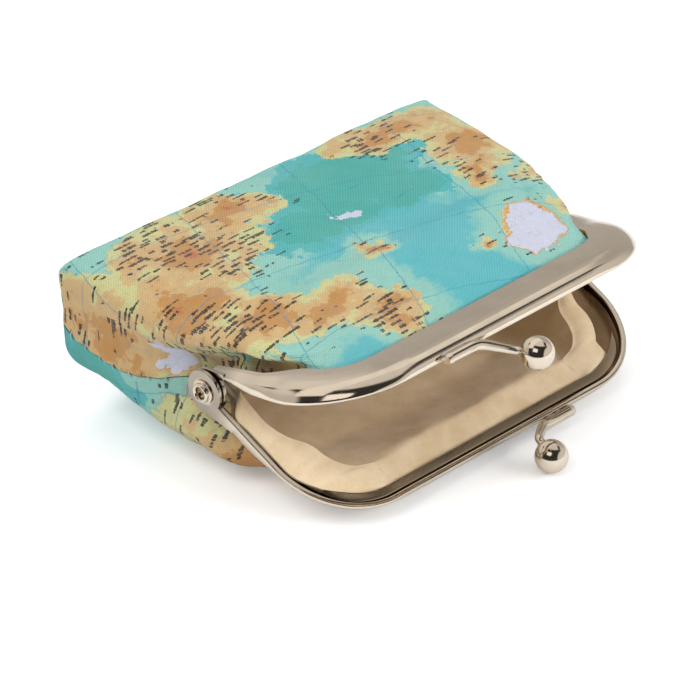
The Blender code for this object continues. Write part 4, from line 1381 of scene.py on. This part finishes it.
def build_bag(half, canvas_material):
    padding_depth = CANVAS_THICKNESS + LAYER_GAP
    lining_depth = padding_depth + PADDING_THICKNESS + LAYER_GAP
    canvas_faces = ((0.0, 0.0), (CANVAS_THICKNESS, CANVAS_THICKNESS))
    padding_faces = (
        (padding_depth, CANVAS_THICKNESS), (padding_depth + PADDING_THICKNESS, CANVAS_THICKNESS),
    )
    lining_faces = (
        (lining_depth, padding_depth),
        (lining_depth + LINING_THICKNESS, padding_depth + LINING_THICKNESS),
    )
    # For each layer the depth and drop of its outer and inner face, and the row at which it starts
    layers = (
        ("canvas", "outer_panel", canvas_faces, canvas_inset, 0, canvas_material, "printed_canvas"),
        ("padding", "fleece_pad", padding_faces, canvas_inset, PADDED_FROM, FLEECE, "fleece"),
        ("lining", "lining_panel", lining_faces, lining_inset, 0, LINING, "brushed_lining"),
    )
    outline = skin(half, 0.0, 0.0, canvas_inset, 0)
    all_places = row_places(outline)
    whole = np.linspace(0.0, all_places[-1], int(all_places[-1] / CLOTH_STEP) + 1)
    fine = spline(outline, all_places, whole)
    shift = folds(fine, half) * free_share(fine, half)
    outward = ways_out(fine, 2, half)
    move = ways_out(fine, 3, half) * shift[:, :, None]
    move = move + outward * seam_bulge(fine, half)[:, :, None]
    if half is UPPER:
        push, creases = lip(fine)
        move = move + push + outward * creases[:, :, None]
    flat = cloth_places(fine)
    for layer, name, faces, inset_at, first, material, slot in layers:
        wanted = whole[whole >= all_places[first] - 1e-9]
        skipped = len(whole) - len(wanted)
        is_lower_lining = half is LOWER and layer == "lining"
        pillow = -PILLOW_HEIGHT if is_lower_lining else 0.0
        grids = []
        for depth, drop in faces:
            rows = skin(half, depth, drop, inset_at, first, pillow)
            grids.append(spline(rows, all_places[first:], wanted) + move[skipped:])
        outer, inner = grids
        places = flat[skipped:]
        if first:
            inside = slice(TUCK_COLUMNS, -TUCK_COLUMNS)
            outer, inner, places = outer[:, inside], inner[:, inside], places[:, inside]
        obj = shell(half.name + "_" + name, outer, inner, places, material)
        obj.visible_glossy = is_lower_lining
        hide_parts(half.name + "_" + layer)
        if layer == "padding":
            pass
        else:
            say_sheet(outer)
        if half is UPPER:
            cross_hinge(obj)
        else:
            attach(obj, "lower_half")


def seam_line(side):
    """Points along the side seam from the hinge to the back corner, between the two panels."""
    places = []
    for y_share, spread_share, seam_share in REAR_SHARES[:SEAM_ROWS]:
        x = side * blend(HINGE_HALF_WIDTH, BAG_HALF_WIDTH, spread_share)
        y = y_share * BAG_DEPTH - BAG_SKEW * y_share * y_share / BAG_HALF_WIDTH * x
        places.append((x, HINGE_Y + y, seam_share * BAG_TOP))
    rows = np.array(places)
    run = run_along(rows)
    return spline(rows, run, np.linspace(0.0, run[-1], 60)), run[-1]


def stitch_points(middle, way, side):
    """A small arc of thread over the seam."""
    out = np.cross(way, (0.0, 0.0, 1.0))
    out /= np.linalg.norm(out)
    out = out * (1 if out[0] * side > 0 else -1)
    up = np.cross(out, way)
    up = up * (1 if up[2] > 0 else -1)
    return [
        middle + up * STITCH_REACH * math.sin(angle) + out * (STITCH_BULGE * math.cos(angle) - STITCH_SUNK)
        + way * STITCH_SLANT * math.sin(angle)
        for angle in np.linspace(-1.9, 1.9, 15)
    ]


def build_seams():
    """A dark roll in the gap between the panels that paints the seam's shadow, with a stitch across it
    every few millimetres.
    """
    for label, side in (("left", -1), ("right", 1)):
        line, length = seam_line(side)
        inward = line.copy()
        inward[:, 0] -= side * SEAM_SUNK
        # The roll is painted shadow: a dark tube set into the seam's gap
        roll = tube(label + "_seam_shadow_roll", inward, np.full(len(line), SEAM_ROLL_RADIUS), PAINTED_SEAM_SHADOW, 12)
        ways = ways_along(line)
        run = np.linspace(0.0, length, len(line))
        pieces = []
        for at in np.arange(STITCH_PITCH * 2, length - 0.001, STITCH_PITCH):
            k = int(np.searchsorted(run, at))
            points = stitch_points(line[k], ways[k], side)
            pieces.append(tube("stitch", points, np.full(len(points), STITCH_RADIUS), THREAD, 8))
        bpy.context.view_layer.update()
        for piece in (roll, join(label + "_seam_stitches", pieces, THREAD)):
            cross_hinge(piece)


def direction(azimuth, elevation):
    """The way from the purse to this azimuth and elevation, in degrees."""
    a, e = math.radians(azimuth), math.radians(elevation)
    return Vector((math.sin(a) * math.cos(e), -math.cos(a) * math.cos(e), math.sin(e)))


def level_right(azimuth):
    a = math.radians(azimuth)
    return Vector((math.cos(a), math.sin(a), 0.0))


def build_camera():
    back = direction(CAMERA_AZIMUTH, CAMERA_ELEVATION)
    roll = math.radians(CAMERA_ROLL)
    level = level_right(CAMERA_AZIMUTH)
    right = level * math.cos(roll) + back.cross(level) * math.sin(roll)
    data = bpy.data.cameras.new("camera")
    data.sensor_width = SENSOR_MM
    data.lens = FOCAL_PIXELS / PICTURE_PIXELS * SENSOR_MM
    data.clip_start, data.clip_end = CAMERA_SEES
    camera = new_object("camera", data)
    turn = Matrix((right, back.cross(right), back)).transposed().to_4x4()
    camera.matrix_world = Matrix.Translation(CAMERA_TARGET + back * CAMERA_DISTANCE) @ turn
    bpy.context.scene.camera = camera


def add_lamp(name, azimuth, elevation, distance, size, power, tint):
    data = bpy.data.lights.new(name, "AREA")
    data.shape = "RECTANGLE"
    data.size, data.size_y = size
    data.energy = power
    data.color = tint
    lamp = new_object(name, data)
    away = direction(azimuth, elevation)
    lamp.location = Vector((0.0, HINGE_Y, 0.0)) + away * distance
    lamp.visible_glossy = False
    lamp.rotation_mode = "QUATERNION"
    lamp.rotation_quaternion = away.to_track_quat("Z", "Y")


def card(g, way, azimuth, elevation, half_width, half_height):
    """1 inside a card seen in this direction, with soft edges."""
    ahead = direction(azimuth, elevation)
    across = level_right(azimuth)
    inside = g.span(g.vector("DOT_PRODUCT", way, ahead), 0.0, 0.05)
    for axis, half in ((across, half_width), (ahead.cross(across), half_height)):
        reach = math.sin(math.radians(half))
        off = abs(g.vector("DOT_PRODUCT", way, axis))
        inside = inside * g.span(off, reach * 0.94, reach * 1.06, 1.0, 0.0)
    return inside


def grey(level):
    return (level, level, level, 1.0)


def studio(g):
    """What metal mirrors: a room darker to the right and to the left, and the cards in it."""
    way = g.node("ShaderNodeTexCoord", output="Generated")
    x, y, z = g.split(way)
    side = g.span(x, *STUDIO_RIGHT) * g.span(x, *STUDIO_LEFT)
    level = g.mix(g.span(y, -0.35, 0.10), grey(STUDIO_FRONT), g.join(side, side, side))
    level = g.mix(g.span(z, 0.60, 0.95), level, grey(STUDIO_CEILING))
    for *where, bright in CARDS:
        level = g.mix(card(g, way, *where), level, grey(bright))
    return g.mix(1.0, level, STUDIO_TINT, "MULTIPLY")


def build_world():
    """Even light for matt surfaces, a plain ground for the camera, and a studio for metal."""
    world = bpy.data.worlds.new("studio")
    bpy.context.scene.world = world
    world.use_nodes = True
    world.node_tree.nodes.clear()
    g = Graph(world.node_tree)
    matt = g.node("ShaderNodeBackground", {0: MATT_TINT, 1: MATT_LEVEL})
    shiny = g.node("ShaderNodeBackground", {0: studio(g)})
    plain = g.node("ShaderNodeBackground")
    is_plain = g.math("MAXIMUM", g.ray("Is Camera Ray"), g.ray("Is Transmission Ray"))
    seen = g.node("ShaderNodeMixShader", {0: g.ray("Is Glossy Ray"), 1: matt, 2: shiny})
    seen = g.node("ShaderNodeMixShader", {0: is_plain, 1: seen, 2: plain})
    g.put(world.node_tree.nodes.new("ShaderNodeOutputWorld").inputs[0], seen)


def build_floor():
    """A pale floor that shows white to the camera and keeps a soft shadow."""
    mesh = bpy.data.meshes.new("floor")
    corners = [(x * FLOOR_HALF, y * FLOOR_HALF, 0) for x, y in ((-1, -1), (1, -1), (1, 1), (-1, 1))]
    mesh.from_pydata(corners, [], [(0, 1, 2, 3)])
    g = Surface("floor")
    glow = g.span(g.vector("LENGTH", g.object_place()), *FLOOR_GLOW)
    mesh.materials.append(g.shaded({
        "Base Color": grey(0.90),
        "Roughness": 0.9,
        "Specular IOR Level": 0.1,
        "Emission Color": grey(1.0),
        "Emission Strength": g.ray("Is Camera Ray") * glow,
    }))
    floor = new_object("floor", mesh)
    floor.location.z = -FLOOR_GAP


for half in (UPPER, LOWER):
    build_frame(half)
    build_strip(half)
    build_clasp(half)
build_rivet("left", -1)
build_rivet("right", 1)
build_bag(UPPER, UPPER_CANVAS)
build_bag(LOWER, LOWER_CANVAS)
build_seams()

build_camera()
build_world()
build_floor()
for lamp in LAMPS:
    add_lamp(*lamp)

bpy.context.scene.view_settings.view_transform = "Standard"
